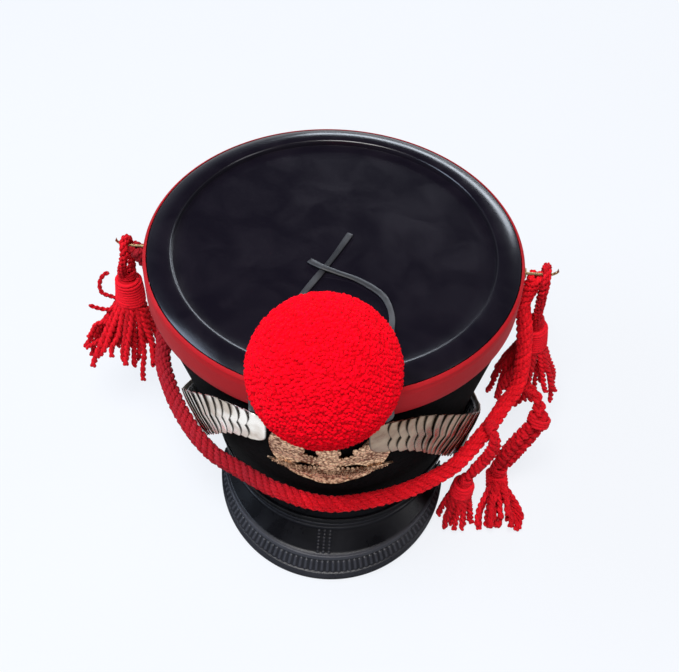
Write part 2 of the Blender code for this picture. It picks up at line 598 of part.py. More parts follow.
def strap_shares(side, pitch):
    """Shares along a strap that lie one pitch apart, and the length of the strap."""
    fine = [index / 400 for index in range(401)]
    spots = [strap_frame(side, share)[0] for share in fine]
    run = [0.0]
    for start, end in zip(spots, spots[1:]):
        run.append(run[-1] + (end - start).length)
    count = round(run[-1] / pitch)
    shares = []
    for index in range(count + 1):
        wanted = run[-1] * index / count
        after = next((at for at, length in enumerate(run) if length >= wanted - 1e-9), len(run) - 1)
        before = max(after - 1, 0)
        span = run[after] - run[before] or 1.0
        shares.append(fine[before] + (fine[after] - fine[before]) * (wanted - run[before]) / span)
    return shares


def chin_strap(side, name):
    """The leather strap that carries the scales."""
    rings = []
    under = SCALE_UNDER + STRAP_GAP
    for share in strap_shares(side, SCALE_PITCH):
        middle, _, outward, across, half_width = strap_frame(side, share)
        reach = half_width * STRAP_WIDTH_SHARE
        rings.append([middle + across * way * reach - outward * depth
                      for way, depth in ((-1, under), (1, under), (1, under + STRAP_THICKNESS),
                                         (-1, under + STRAP_THICKNESS))])
    loft(f"chin_strap_{name}", rings, black_leather, cap_frame)


def scale_ring(side, share, rise, narrowing):
    middle, forward, outward, across, half_width = strap_frame(side, share)
    upper = [middle + across * half_width * narrowing * way + forward * SCALE_PITCH * lead
             + outward * (rise + SCALE_CROWN * crown) for way, lead, crown in SCALE_ACROSS]
    lower = [middle + across * half_width * narrowing * way - outward * SCALE_UNDER for way in (1, -1)]
    return upper + lower


def chin_scales(side, name):
    """Metal scales, each lifted over the next, in one row that narrows to a rounded last scale."""
    shares = strap_shares(side, SCALE_PITCH)
    rings = []
    for index, (start, end) in enumerate(zip(shares, shares[1:])):
        begin = start + (end - start) * SCALE_TUCK
        rings.append(scale_ring(side, begin, SCALE_THICKNESS - SCALE_STEP / 2, 1.0))
        ends = SCALE_END_ROWS if index == len(shares) - 2 else [(1.0, 1.0)]
        for way, narrowing in ends:
            rise = SCALE_THICKNESS + SCALE_STEP * (way - 0.5)
            rings.append(scale_ring(side, begin + (end - begin) * way, rise, narrowing))
    loft(f"chin_scales_{name}", rings, silver, cap_frame)


def boss(side, name):
    """Round boss that fastens the scales at the side of the cap."""
    middle, forward, outward, across, _ = strap_frame(side, 0.0)
    seat = middle + outward * (SCALE_THICKNESS + SCALE_STEP / 2 + SCALE_CROWN + GAP)
    spokes = [(forward * math.cos(turn) + across * math.sin(turn)) * BOSS_RADIUS for turn in angles(BOSS_SIDES)]
    rings = [[seat + outward * BOSS_HEIGHT * up + spoke * out for spoke in spokes] for out, up in BOSS_ROWS]
    loft(f"boss_{name}", rings, silver, cap_frame)


def hook(side, name):
    """Wire hook on the band: a flange, a level run and a tip that turns up."""
    root = Vector((CROWN_SHIFT + side * (BAND_RADIUS + GAP), 0, CROWN_HEIGHT - HOOK_DROP))
    radii = {"flange": HOOK_FLANGE, "wire": HOOK_WIRE}
    rings = []
    for out, up, part, share in HOOK_ROWS:
        radius = radii[part] * share
        middle = root + Vector((side * HOOK_REACH * out, 0, HOOK_REACH * up))
        turned = Vector((-side * 2 * up, 0, 1)).normalized()
        rings.append([middle + Vector((0, radius * math.cos(turn), 0)) + turned * radius * math.sin(turn)
                      for turn in angles(HOOK_SIDES)])
    loft(f"hook_{name}", rings, brass, cap_frame)


# Laces on the crown: places in the cap's frame, as shares of the crown's radius from the shifted middle,
# and the lift over another lace as a share of a thickness
LACE_LEFT = [(-0.352, -0.858, 0), (-0.338, -0.826, 0), (-0.324, -0.797, 0), (-0.295, -0.735, 0),
             (-0.217, -0.563, 0), (-0.147, -0.405, 0), (-0.083, -0.268, 0), (-0.042, -0.180, 0),
             (0.010, -0.062, 0), (0.072, 0.100, 0)]
LACE_RIGHT = [(0.343, -0.860, 0), (0.342, -0.830, 0), (0.341, -0.800, 0), (0.340, -0.770, 0),
              (0.336, -0.680, 0), (0.332, -0.580, 0), (0.331, -0.478, 0), (0.302, -0.378, 0),
              (0.250, -0.310, 0), (0.140, -0.240, 0), (0.035, -0.208, 0.9), (-0.042, -0.188, 2.2),
              (-0.080, -0.165, 1.4), (-0.125, -0.130, 0)]

# Laces below the crown: share of the turn towards the crown's place and share of the felt's height, then
# shares of the band's width, then shares of the crown rim's radius
LACE_FELT_ROWS = [(0.0, 0.92), (0.5, 0.965)]
LACE_BAND_ROWS = [0.02, 0.30, 0.65, 0.96]
LACE_RIM_ROWS = [0.975, 0.93]
LACE_OVER = 0.75 * LACE_THICKNESS


def lace_route(side, crown_shares):
    """Middle line and outward directions of a lace: up the felt, over the band and rim, across the crown."""
    lift = LACE_THICKNESS / 2 + GAP
    end, forward, outward, _, _ = strap_frame(side, 1.0)
    start = end + forward * (SCALE_PITCH * 0.2 + LACE_HALF_WIDTH + 2 * GAP) + outward * SCALE_THICKNESS
    first_u, first_v, _ = crown_shares[0]
    angle = math.atan2(first_u, -first_v)
    start_angle = math.atan2(start.x, -start.y)
    route = [(start, outward)]
    clear = BAND_RADIUS - FELT_TOP_RADIUS + 2 * lift
    for share, height in LACE_FELT_ROWS:
        way = start_angle + (angle - start_angle) * share
        level = BAND_BOTTOM * height
        route.append((wall(way, level, LACE_START + (clear - LACE_START) * share),
                      wall_normal(way, level)))
    radial = crown_point(angle, 1, 0) - crown_point(angle, 0, 0)
    face = BAND_RADIUS + lift
    for up in LACE_BAND_ROWS:
        route.append((crown_point(angle, face + GAP, BAND_BOTTOM + TOP_BAND_WIDTH * up), radial.normalized()))
    slant = (radial.normalized() + Vector((0, 0, 1))).normalized()
    route.append((crown_point(angle, BAND_RADIUS - GAP, CROWN_HEIGHT + lift), slant))
    for share in LACE_RIM_ROWS:
        top = crown_point(angle, CROWN_RIM_RADIUS * share, CROWN_HEIGHT + lift + GAP)
        route.append((top, Vector((0, 0, 1))))
    for u, v, over in crown_shares:
        radius = math.hypot(u, v) * CROWN_RIM_RADIUS
        way = math.atan2(u, -v)
        nearby = [crown_surface(radius + step * LACE_THICKNESS) for step in (-2, -1, 0, 1, 2)]
        height = max(nearby) + lift + over * LACE_OVER + GAP
        route.append((crown_point(way, radius, height), Vector((0, 0, 1))))
    return route


def lace(side, name, crown_shares):
    """Flat thong along its route."""
    route = lace_route(side, crown_shares)
    line = smooth_line([point for point, _ in route], 2)
    facing = smooth_line([outward for _, outward in route], 2)
    rings = []
    for index, (point, outward) in enumerate(zip(line, facing)):
        ahead = line[min(index + 1, len(line) - 1)] - line[max(index - 1, 0)]
        across = ahead.cross(outward).normalized() * LACE_HALF_WIDTH
        square = across.cross(ahead).normalized() * LACE_THICKNESS / 2
        rings.append([point - across - square, point + across - square, point + across + square,
                      point - across + square])
    loft(f"lace_{name}", rings, black_leather, cap_frame)


def cord(name, route, radius):
    """Round cord through its route's points, with a radius share as an optional fourth value of a point."""
    line = [tuple(value * MM for value in row[:3]) + (row[3] if len(row) > 3 else 1.0,) for row in route]
    data = bpy.data.curves.new(name, "CURVE")
    data.dimensions = "3D"
    data.bevel_depth = radius
    data.bevel_resolution = 2
    data.use_fill_caps = True
    spline = data.splines.new("POLY")
    spline.points.add(len(line) - 1)
    for point, row in zip(spline.points, line):
        point.co = (row[0], row[1], row[2], 1.0)
        point.radius = row[3]
    data.materials.append(red_cord)
    item = bpy.data.objects.new(name, data)
    bpy.context.collection.objects.link(item)
    item.parent = floor_frame
    return item


def tassel(name, axis, rows, width_way):
    """A wound head and a skirt of locks round an axis given from the head to the ends of the locks."""
    line = smooth_line([tuple(value * MM for value in point) for point in axis], 12)
    run = [0.0]
    for start, end in zip(line, line[1:]):
        run.append(run[-1] + (end - start).length)

    def at(share):
        wanted = share * run[-1]
        after = next((index for index, length in enumerate(run) if length >= wanted - 1e-9), len(run) - 1)
        before = max(after - 1, 0)
        span = run[after] - run[before] or 1.0
        spot = line[before].lerp(line[after], (wanted - run[before]) / span)
        ahead = line[min(after + 1, len(line) - 1)] - line[max(before - 1, 0)]
        return spot, ahead.normalized()

    turns = angles(2 * TASSEL_LOCKS)

    def ring(share, width, depth, lock, drop=0.0, shrink=1.0):
        middle, ahead = at(share)
        across = (width_way - ahead * width_way.dot(ahead)).normalized()
        other = ahead.cross(across)
        points = []
        for index, turn in enumerate(turns):
            scale = TASSEL_HEAD * (1 - lock * (index % 2)) * shrink
            spot = middle + across * width * scale * math.cos(turn) + other * depth * scale * math.sin(turn)
            spot += ahead * drop * (1 if index % 2 == 0 else -1)
            spot.z = max(spot.z, FLOOR_CLEARANCE)
            points.append(spot)
        return points

    rings = [ring(*row) for row in rows]
    share, width, depth, lock = rows[-1]
    length = run[-1]
    rings.append(ring(share, width, depth, lock, TASSEL_END_DROP * length, TASSEL_END_SHRINK))
    rings.append(ring(share - TASSEL_END_HOLLOW, width, depth, lock, 0.0, TASSEL_END_CORE))
    loft(name, rings, red_cord, floor_frame)


def rest_on_floor():
    """Leans the cap on the rear of its rim and the tip of its peak, with the floor at z = 0."""
    rear = rim_point(math.pi, BASE_BAND_FACE, 0)
    tip = slope_point(0.0, PEAK_LENGTH, -PEAK_THICKNESS)
    tilt = math.atan2(tip.z - rear.z, rear.y - tip.y)
    cap_frame.rotation_euler.x = tilt
    cap_frame.location.z = -(Matrix.Rotation(tilt, 4, "X") @ rear).z


def centre_on_floor():
    """Moves the whole so that the cap without its cords stands centred on the origin."""
    bpy.context.view_layer.update()
    cord_names = ("cord", "loop", "tassel", "lace", "drop")
    graph = bpy.context.evaluated_depsgraph_get()
    spots = []
    for item in bpy.data.objects:
        if item.type != "MESH" or item.hide_render or item.name.startswith(cord_names):
            continue
        shaped = item.evaluated_get(graph)
        spots += [shaped.matrix_world @ vert.co for vert in shaped.data.vertices]
    for axis in (0, 1):
        values = [spot[axis] for spot in spots]
        floor_frame.location[axis] = -(min(values) + max(values)) / 2
    print("centred by", tuple(floor_frame.location), "lowest", min(spot.z for spot in spots))


def main():
    felt_body()
    crown_top()
    bands()
    peak()
    plate()
    pompom()
    pompom_stem()
    for side, name in ((-1, "left"), (1, "right")):
        chin_strap(side, name)
        chin_scales(side, name)
        boss(side, name)
        hook(side, name)
    lace(-1, "left", LACE_LEFT)
    lace(1, "right", LACE_RIGHT)
    cord("cord_swag", SWAG_ROUTE, SWAG_RADIUS)
    cord("loop_left", LOOP_LEFT_ROUTE, LOOP_RADIUS)
    cord("loop_right", LOOP_RIGHT_ROUTE, LOOP_RADIUS)
    cord("drop_cord_a", DROP_A_ROUTE, DROP_RADIUS_A)
    cord("drop_cord_b", DROP_B_ROUTE, DROP_RADIUS_B)
    sideways = Vector((1, 0, 0))
    tassel("tassel_left", TASSEL_LEFT_AXIS, TASSEL_HANGING, sideways)
    tassel("tassel_right", TASSEL_RIGHT_AXIS, TASSEL_HANGING, sideways)
    tassel("tassel_a", TASSEL_A_AXIS, TASSEL_LYING, sideways)
    tassel("tassel_b", TASSEL_B_AXIS, TASSEL_STANDING, sideways)
    rest_on_floor()
    centre_on_floor()


main()
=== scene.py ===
"""A shako dressed round its frame: felt body, leather crown, bands and peak, scaled chin straps, a cast
plate, a wool pompom, twisted cords and tassels.

Metres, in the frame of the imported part: +Z up, the peak towards -Y. The cap rests on the rear of its rim and
the tip of its peak, so most pieces are shaped upright on the cap's own axis and then set in place.
"""
import json
import math
import random

import bmesh
import bpy
import numpy as np
from mathutils import Matrix, Vector


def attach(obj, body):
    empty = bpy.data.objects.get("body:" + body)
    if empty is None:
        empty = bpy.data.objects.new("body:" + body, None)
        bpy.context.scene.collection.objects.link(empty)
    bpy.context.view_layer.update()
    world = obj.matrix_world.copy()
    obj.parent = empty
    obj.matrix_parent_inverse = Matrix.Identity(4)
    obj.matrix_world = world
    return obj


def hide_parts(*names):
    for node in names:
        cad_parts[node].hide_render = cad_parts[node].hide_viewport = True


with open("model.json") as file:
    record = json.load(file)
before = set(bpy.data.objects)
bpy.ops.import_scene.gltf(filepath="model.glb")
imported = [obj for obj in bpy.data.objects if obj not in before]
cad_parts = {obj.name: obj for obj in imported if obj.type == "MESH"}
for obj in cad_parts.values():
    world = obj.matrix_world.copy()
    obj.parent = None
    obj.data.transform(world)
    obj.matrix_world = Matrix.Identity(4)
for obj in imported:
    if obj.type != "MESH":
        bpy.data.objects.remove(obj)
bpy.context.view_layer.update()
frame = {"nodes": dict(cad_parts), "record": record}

MM = 0.001
TURN = 2 * math.pi
GAP = 0.3 * MM
UP = Vector((0, 0, 1))
SIDES = [(-1, "left"), (1, "right")]

# Felt body, as in the part
BASE_HALF_WIDTH = 86.3 * MM
BASE_HALF_DEPTH = 99.5 * MM
FELT_TOP_RADIUS = 122.9 * MM
FELT_THICKNESS = 2.5 * MM
CROWN_HEIGHT = 180.4 * MM
CROWN_SHIFT = -4.0 * MM
CROWN_LEAN = math.radians(1.5)

# Leather crown and bands
CROWN_RIM_RADIUS = 122.5 * MM
CROWN_RIM_DEPTH = 5.0 * MM
CROWN_SINK = 4.4 * MM
CROWN_LEATHER = 2.6 * MM
TOP_BAND_WIDTH = 24.2 * MM
TOP_BAND_THICKNESS = 2.3 * MM
BAND_BOTTOM = CROWN_HEIGHT - 1.5 * MM - TOP_BAND_WIDTH
BAND_RADIUS = FELT_TOP_RADIUS + GAP + TOP_BAND_THICKNESS
BASE_BAND_WIDTH = 20.0 * MM
BASE_BAND_FACE = GAP + 1.6 * MM
OVAL_SIDES = 160
ROUND_SIDES = 192

# Peak, and the section of its upper side: share of the way out, share of the ridge's rise
PEAK_LENGTH = 45.0 * MM
PEAK_SLOPE = math.radians(37.5)
PEAK_HALF_ANGLE = math.radians(68.5)
PEAK_FULLNESS = 0.76
PEAK_THICKNESS = 2.6 * MM
PEAK_ROOT_RISE = 1.5 * MM
PEAK_END_REACH = 7.0 * MM
PEAK_RIDGE = 1.1 * MM
PEAK_RIB_PITCH = 4.5 * MM
PEAK_LIP_HEIGHT = 3.0 * MM
PEAK_COLUMNS = 400
PEAK_ROWS = 64
PEAK_TOP_ROWS = PEAK_ROWS - 8
PEAK_RISES = [(0.0, 0.0), (0.55, 0.0), (0.60, 0.55), (0.615, 0.95), (0.64, 1.0), (0.66, 0.85),
              (0.68, 0.15), (0.885, 0.15), (0.90, 0.55), (0.98, 0.55), (1.0, 0.10)]
PEAK_EDGE = [(-0.12 * MM, -0.25 * MM), (0.0, -0.9 * MM), (-0.1 * MM, -1.8 * MM), (-0.7 * MM, -PEAK_THICKNESS)]

# Plate, drawn flat and bent to the felt
PLATE_HALF_WIDTH = 41.0 * MM
PLATE_HEIGHT = 84.0 * MM
PLATE_CENTRE = 3.0 * MM
PLATE_FOOT = 62.0 * MM
PLATE_STANDOFF = 0.5 * MM
PLATE_RELIEF = 2.6 * MM
BEAD_PITCH = 1.45 * MM
BEAD_ROW = 0.87 * BEAD_PITCH

# Pompom
POMPOM_RADIUS = 45.6 * MM
POMPOM_SPOT = Vector((2.4, -142.2, 222.2)) * MM
POMPOM_TUFTS = 5600
POMPOM_TURN = TURN * 0.6180339887
TUFT_LENGTH = 7.6 * MM

# Chin scales on their straps, and bosses
SCALE_HALF_WIDTH = 19.0 * MM
SCALE_PITCH = 5.7 * MM
SCALE_THICKNESS = 1.0 * MM
SCALE_CROWN = 0.9 * MM
STRAP_STANDOFF = 9.0 * MM
BOSS_RADIUS = 17.0 * MM
BOSS_HEIGHT = 5.5 * MM
BOSS_BEADS = 32

# Scales along a strap: share of its line, then half width as a share, lean of the upper edge, and pitch
SCALE_WIDTHS = [(0.0, 1.00), (0.5, 0.98), (0.7, 0.94), (0.8, 0.97), (0.9, 1.02), (1.0, 0.98)]
SCALE_SLANTS = [(0.0, 0.0), (0.40, 0.0), (0.55, 0.60), (0.70, 1.15), (0.80, 0.78), (0.90, 0.34), (1.0, 0.22)]
SCALE_PITCHES = [(0.0, 9.4 * MM), (0.5, 9.4 * MM), (0.7, 8.4 * MM), (0.8, 7.2 * MM), (0.9, 6.2 * MM),
                 (1.0, 5.7 * MM)]

# Chin strap's line: angle from the front, and shares of the felt's height, the standoff and the scales' width
STRAP_ROWS = [Vector(row) for row in (
    (90.0, 0.115, 0.59, 1.00), (84.0, 0.160, 0.69, 1.00), (75.0, 0.226, 0.92, 1.00),
    (62.0, 0.375, 1.00, 0.97), (48.0, 0.582, 0.82, 0.90), (35.0, 0.756, 0.64, 0.80),
    (27.0, 0.827, 0.55, 0.73), (18.5, 0.853, 0.47, 0.66))]

# The cap's place, from the rim mount: the mount is the middle of the felt's edge at the back
rim_mount = frame["record"]["mounts"][0]
cap_tilt = math.asin(rim_mount["axis"][1])
cap_place = (Matrix.Translation(rim_mount["pos_m"]) @ Matrix.Rotation(cap_tilt, 4, "X")
             @ Matrix.Translation((0, FELT_THICKNESS / 2 - BASE_HALF_DEPTH, 0)))
crown_place = (cap_place @ Matrix.Translation((CROWN_SHIFT, 0, CROWN_HEIGHT))
               @ Matrix.Rotation(CROWN_LEAN, 4, "Y"))
floor_shift = np.array([cap_place.translation.x, cap_place.translation.y, 0.0])

# Camera and lights: each light's place, target, width, height, power and colour
CAMERA_SPOT = Vector((38.07, -390.66, 698.85)) * MM
CAMERA_TURNS = [(4.771, "Z"), (90 - 55.764, "X"), (0.322, "Z")]
CAMERA_LENS = 53.02
CAMERA_SENSOR = 36.0
LIGHTS = {"ceiling": ((-0.10, -0.40, 1.80), (0, -0.05, 0.15), 0.7, 0.7, 36, (1.0, 0.985, 0.97)),
          "window_left": ((-0.98, 0.02, 1.05), (0, -0.05, 0.15), 0.62, 0.62, 12, (0.66, 0.80, 1.0)),
          "window_back": ((0.35, 1.55, 0.46), (0.02, 0.0, 0.15), 1.2, 0.30, 12, (0.82, 0.90, 1.0)),
          "window_right": ((1.02, -0.20, 0.95), (0, -0.05, 0.15), 0.45, 0.45, 3.5, (0.95, 0.95, 1.0))}
ROOM_LOW = (0.36, 0.40, 0.46, 1)
ROOM_HIGH = (0.038, 0.038, 0.047, 1)

# Cords: diameters, ropes, and routes in the floor's frame in millimetres
SWAG_DIAMETER = 12 * MM
SWAG_ROPE = {"strands": 4, "reach": 3.45 * MM, "pitch": 23 * MM, "plies": 3, "ply_reach": 1.25 * MM,
             "ply_radius": 1.42 * MM, "ply_pitch": 9.5 * MM}
LOOP_DIAMETER = 5.2 * MM
LOOP_ROPE = {"strands": 3, "reach": 1.62 * MM, "pitch": 13 * MM, "plies": 2, "ply_reach": 0.72 * MM,
             "ply_radius": 0.98 * MM, "ply_pitch": 6.5 * MM}
KNOT_YARN = 1.25 * MM
SWAG_ROUTE = [(-138.4, 19.4, 173.6), (-138.3, 19.6, 169.5), (-136.0, 21.5, 160), (-132.6, 22.5, 148),
              (-128.8, 20, 132), (-126.8, 12, 116), (-125.6, -4, 103), (-123.6, -22, 97.5),
              (-117.5, -37.2, 98.6), (-109, -53.2, 97), (-99.8, -66, 94), (-89.5, -77.5, 91),
              (-77, -86.2, 84), (-63, -91, 78), (-49, -96.5, 74), (-38, -101, 72), (-27, -104, 71),
              (-17, -106.2, 69), (-5, -107.3, 67), (7, -107, 66), (22, -104.6, 67), (38, -100, 67),
              (52, -94.5, 67.5), (65, -88, 68), (77, -80.5, 69), (87.8, -73.2, 72), (97.4, -63.2, 77),
              (106.6, -51.8, 81.5), (113.4, -41.6, 82), (121, -28, 83), (129, -16, 86), (131.5, -6, 98),
              (131, 3, 114), (128.5, 10.5, 132), (125, 15.5, 147), (127.4, 18.5, 158), (129.8, 19.4, 167),
              (129.9, 19.4, 173.6)]
LOOP_ROUTES = {
    "left": [(-152.6, 17.6, 140.5), (-153.2, 17.4, 144), (-151.6, 14.4, 153), (-148.0, 12.8, 165),
             (-146, 13.6, 173.4), (-146.2, 16.2, 178.4), (-146.0, 19.4, 179.9), (-145.4, 22.6, 178.4),
             (-145.2, 25.2, 173.4), (-145.6, 25.8, 165), (-146.4, 23.6, 153), (-147.4, 21.4, 144),
             (-147.6, 21.2, 140.5)],
    "right": [(138, 16, 119.8), (138, 15.8, 123.5), (137.4, 13.6, 133), (136.6, 12.2, 150), (136, 11.4, 166),
              (136, 12.4, 174), (136.2, 15.6, 178.4), (136.4, 19.4, 179.5), (136.6, 23.4, 178.4),
              (136.8, 26.6, 174), (137.2, 27.4, 166), (138, 26, 150), (138.6, 24, 133), (138.2, 22.6, 123.5),
              (138.2, 22.6, 119.8)]}

# Plaited drops: diameter, pitch, share of the line at the knot, and route with shares of the radius
DROPS = {
    "a": (14 * MM, 21 * MM, 0.30,
          [(136.2, -16.5, 87.5, 0.60), (138.6, -16.2, 87.8, 0.62), (142, -18, 87.7, 0.62),
           (144.2, -22.5, 86.6, 0.62), (145.6, -28.5, 84.6, 0.75), (146.0, -36, 80.6, 1.02),
           (141.8, -39, 69, 1.12), (134.8, -42, 51.5, 1.20), (128.8, -44, 32, 1.10),
           (125.6, -46.5, 22, 0.70), (125.5, -47, 18.9, 0.6)]),
    "b": (10 * MM, 16 * MM, 0.12,
          [(108.0, -47.8, 89.4, 0.6), (110, -51.8, 93.2, 0.65), (113, -57.2, 91, 0.8),
           (114.2, -61, 81, 1.15), (111.4, -62.8, 70, 1.3), (106.4, -65.4, 60, 1.3),
           (101.2, -68.6, 51, 1.05), (98.6, -70.8, 46.5, 0.7), (98.2, -71.2, 44.2, 0.6)])}

# Outlines of a tassel: share of its length, half width and half depth in head radii
TASSEL_HEAD = 10.0 * MM
HEAD_END = 0.31
HEAD_YARN = 1.4 * MM
HEAD_PITCH = 2.7 * MM
LOWEST_YARN = 2.4 * MM
TASSEL_HANGING = [(0.00, 0.55, 0.55), (0.03, 0.92, 0.92), (0.29, 1.10, 1.00), (0.31, 0.98, 0.92),
                  (0.36, 1.25, 1.05), (0.55, 1.75, 1.35), (0.78, 2.45, 1.75), (1.00, 2.85, 2.05)]
TASSEL_LYING = [(0.00, 0.50, 0.50), (0.04, 0.78, 0.78), (0.28, 0.84, 0.80), (0.32, 0.70, 0.66),
                (0.42, 0.95, 0.78), (0.68, 1.45, 0.78), (0.88, 1.72, 0.66), (1.00, 1.68, 0.50)]
TASSEL_STANDING = [(0.00, 0.50, 0.50), (0.04, 0.78, 0.78), (0.30, 0.84, 0.82), (0.34, 0.72, 0.70),
                   (0.44, 0.86, 0.84), (0.72, 1.05, 0.98), (0.92, 1.20, 1.15), (1.00, 1.30, 1.25)]

# Strands that stray from the left tassel: across, in depth and down from the end of its head, millimetres
LEFT_STRAYS = [[(-4, 0, 0), (-9, -2, -1), (-14, -3, -3), (-20, -3, -5), (-22, -1, -11), (-20, 2, -17),
                (-17, 4, -18)],
               [(-6, -3, 4), (-13, -6, 7), (-20, -8, 6), (-27, -10, 3)],
               [(-8, -4, 12), (-17, -8, 18), (-23, -10, 20), (-26, -12, 28), (-28, -13, 31)],
               [(-10, -6, 22), (-17, -10, 31), (-23, -12, 36), (-29, -14, 41)]]

# Tassels: outline, number of cords, stray strands, and the axis from the head to the ends in millimetres
TASSELS = {
    "left": (TASSEL_HANGING, 30, LEFT_STRAYS, [(-150.2, 19.4, 140), (-152, 14.5, 114), (-160.5, -3, 68)]),
    "right": (TASSEL_HANGING, 28, (), [(138.1, 19.4, 119.3), (139.4, 18.4, 95), (139.5, 13, 42)]),
    "a": (TASSEL_LYING, 21, (), [(125, -41.5, 10.2), (126, -56, 9.2), (127.5, -86, 6.4)]),
    "b": (TASSEL_STANDING, 18, (), [(98, -71.4, 43.8), (96.4, -74, 28), (95, -82, 1.2)])}

# Laces on the crown: places as shares of the crown's radius, and the lift over another lace
LACE_HALF_WIDTH = 2.0 * MM
LACE_THICKNESS = 1.2 * MM
LACE_START = 4.2 * MM
LACE_SECTION = [(-1, -0.5), (-0.8, -1), (0.8, -1), (1, -0.5), (1, 0.5), (0.8, 1), (-0.8, 1), (-1, 0.5)]
LACES = {"left": [(-0.285, -0.880, 0), (-0.284, -0.845, 0), (-0.282, -0.805, 0), (-0.272, -0.735, 0),
                  (-0.215, -0.563, 0), (-0.147, -0.405, 0), (-0.083, -0.268, 0), (-0.042, -0.180, 0),
                  (0.010, -0.062, 0), (0.072, 0.100, 0)],
         "right": [(0.322, -0.868, 0), (0.324, -0.836, 0), (0.327, -0.803, 0), (0.330, -0.770, 0),
                   (0.334, -0.680, 0), (0.332, -0.580, 0), (0.331, -0.478, 0), (0.302, -0.378, 0),
                   (0.250, -0.310, 0), (0.140, -0.240, 0), (0.035, -0.208, 0.9), (-0.042, -0.188, 2.2),
                   (-0.080, -0.165, 1.4), (-0.125, -0.130, 0)]}

# Crown's upper side in the part, for the laces: share of the rim's radius, drop as a share of the sink
CROWN_DROPS = [(0.20, 0.92), (0.855, 1.00), (0.868, 0.80), (0.880, 0.25), (0.90, 0.05), (0.955, 0.00),
               (0.985, 0.12), (1.00, 0.42)]

# Plate outlines: shares of its half width and of its height
WING = [(0.06, 0.46), (0.20, 0.44), (0.36, 0.45), (0.46, 0.52), (0.52, 0.66), (0.60, 0.75), (0.76, 0.76),
        (0.88, 0.70), (0.94, 0.60), (0.94, 0.46), (0.88, 0.34), (0.80, 0.27), (0.66, 0.265), (0.56, 0.31),
        (0.44, 0.345), (0.30, 0.335), (0.18, 0.30), (0.06, 0.30)]
BREAST = [(-0.16, 0.44), (-0.19, 0.56), (-0.15, 0.68), (-0.10, 0.77), (-0.11, 0.86), (-0.17, 0.885),
          (-0.06, 0.925), (0.05, 0.91), (0.11, 0.85), (0.11, 0.77), (0.16, 0.67), (0.19, 0.56), (0.16, 0.44),
          (0.07, 0.34), (-0.07, 0.34)]
BOLT = [(-1.0, 0.262), (-0.72, 0.30), (-0.40, 0.275), (0.0, 0.285), (0.40, 0.275), (0.72, 0.30),
        (1.0, 0.262), (0.74, 0.225), (0.40, 0.205), (0.0, 0.195), (-0.40, 0.205), (-0.74, 0.225)]
TAIL = [(-0.12, 0.36), (0.12, 0.36), (0.22, 0.20), (0.34, 0.07), (0.17, 0.015), (0.0, 0.0), (-0.17, 0.015),
        (-0.34, 0.07), (-0.22, 0.20)]
FRINGE = [(-0.76, 0.245), (-0.50, 0.235), (-0.24, 0.225), (0.0, 0.215), (0.24, 0.225), (0.50, 0.235),
          (0.76, 0.245), (0.64, 0.135), (0.46, 0.075), (0.24, 0.04), (0.0, 0.03), (-0.24, 0.04),
          (-0.46, 0.075), (-0.64, 0.135)]

# Kinds of the finish groups' sockets that aren't plain numbers
SOCKET_KINDS = {"Vector": "Vector", "Colour": "Color", "Hollow": "Color", "Worn": "Color", "Tarnish": "Color"}
RED_WOOL = {"Roughness": 0.9, "Sheen_Weight": 0.10, "Sheen_Roughness": 0.4,
            "Sheen_Tint": (1.0, 0.2, 0.2, 1.0), "Specular_IOR_Level": 0.08}


# Camera and stage
def new_object(name, data, place=None):
    item = bpy.data.objects.new(name, data)
    bpy.context.scene.collection.objects.link(item)
    if place:
        item.matrix_world = place
    return item


def set_camera():
    """The photograph's view: from above the front, looking down on the crown."""
    lens = bpy.data.cameras.new("photo_view")
    lens.sensor_fit = "HORIZONTAL"
    lens.sensor_width = CAMERA_SENSOR
    lens.lens = CAMERA_LENS
    place = Matrix.Translation(CAMERA_SPOT)
    for degrees, axis in CAMERA_TURNS:
        place = place @ Matrix.Rotation(math.radians(degrees), 4, axis)
    bpy.context.scene.camera = new_object("photo_view", lens, place)


def light_studio():
    """A room that darkens upwards, a broad light over the camera, and windows at the sides and the back."""
    bpy.context.scene.view_settings.view_transform = "Standard"
    world = bpy.data.worlds.new("dim_room")
    world.use_nodes = True
    graph = Graph(world.node_tree)
    rise = graph.node("SeparateXYZ", Vector=graph.node("TexCoord").outputs["Generated"])
    height = graph.ramp(rise.outputs["Z"], 0.0, 0.55)
    graph.give(world.node_tree.nodes["Background"].inputs["Color"], graph.blend(height, ROOM_LOW, ROOM_HIGH))
    bpy.context.scene.world = world
    for name, (spot, target, width, height, power, colour) in LIGHTS.items():
        lamp = bpy.data.lights.new(name, "AREA")
        lamp.shape = "RECTANGLE"
        lamp.size = width
        lamp.size_y = height
        lamp.energy = power
        lamp.color = colour
        facing = (Vector(target) - Vector(spot)).to_track_quat("-Z", "Y").to_matrix().to_4x4()
        new_object(name, lamp, Matrix.Translation(spot) @ facing)


# Curves and yarns
def bent(before, start, end, after, share):
    """Point between start and end on a smooth curve that also passes through a neighbour on either side."""
    bend = 2 * before - 5 * start + 4 * end - after
    twist = 3 * start - before - 3 * end + after
    return 0.5 * (2 * start + (end - before) * share + bend * share ** 2 + twist * share ** 3)


def smooth_line(points, spacing):
    """Even points along a smooth curve through the given rows. Columns past the third ride along."""
    rows = np.array(points, float)
    ends = np.vstack([2 * rows[0] - rows[1], rows, 2 * rows[-1] - rows[-2]])
    share = np.linspace(0, 1, 24, endpoint=False)[:, None]
    fine = [bent(*four, share) for four in zip(ends, ends[1:], ends[2:], ends[3:])]
    fine = np.vstack(fine + [rows[-1:]])
    run = run_along(fine)
    even = np.linspace(0, run[-1], max(2, round(run[-1] / spacing)) + 1)
    return np.column_stack([np.interp(even, run, column) for column in fine.T])


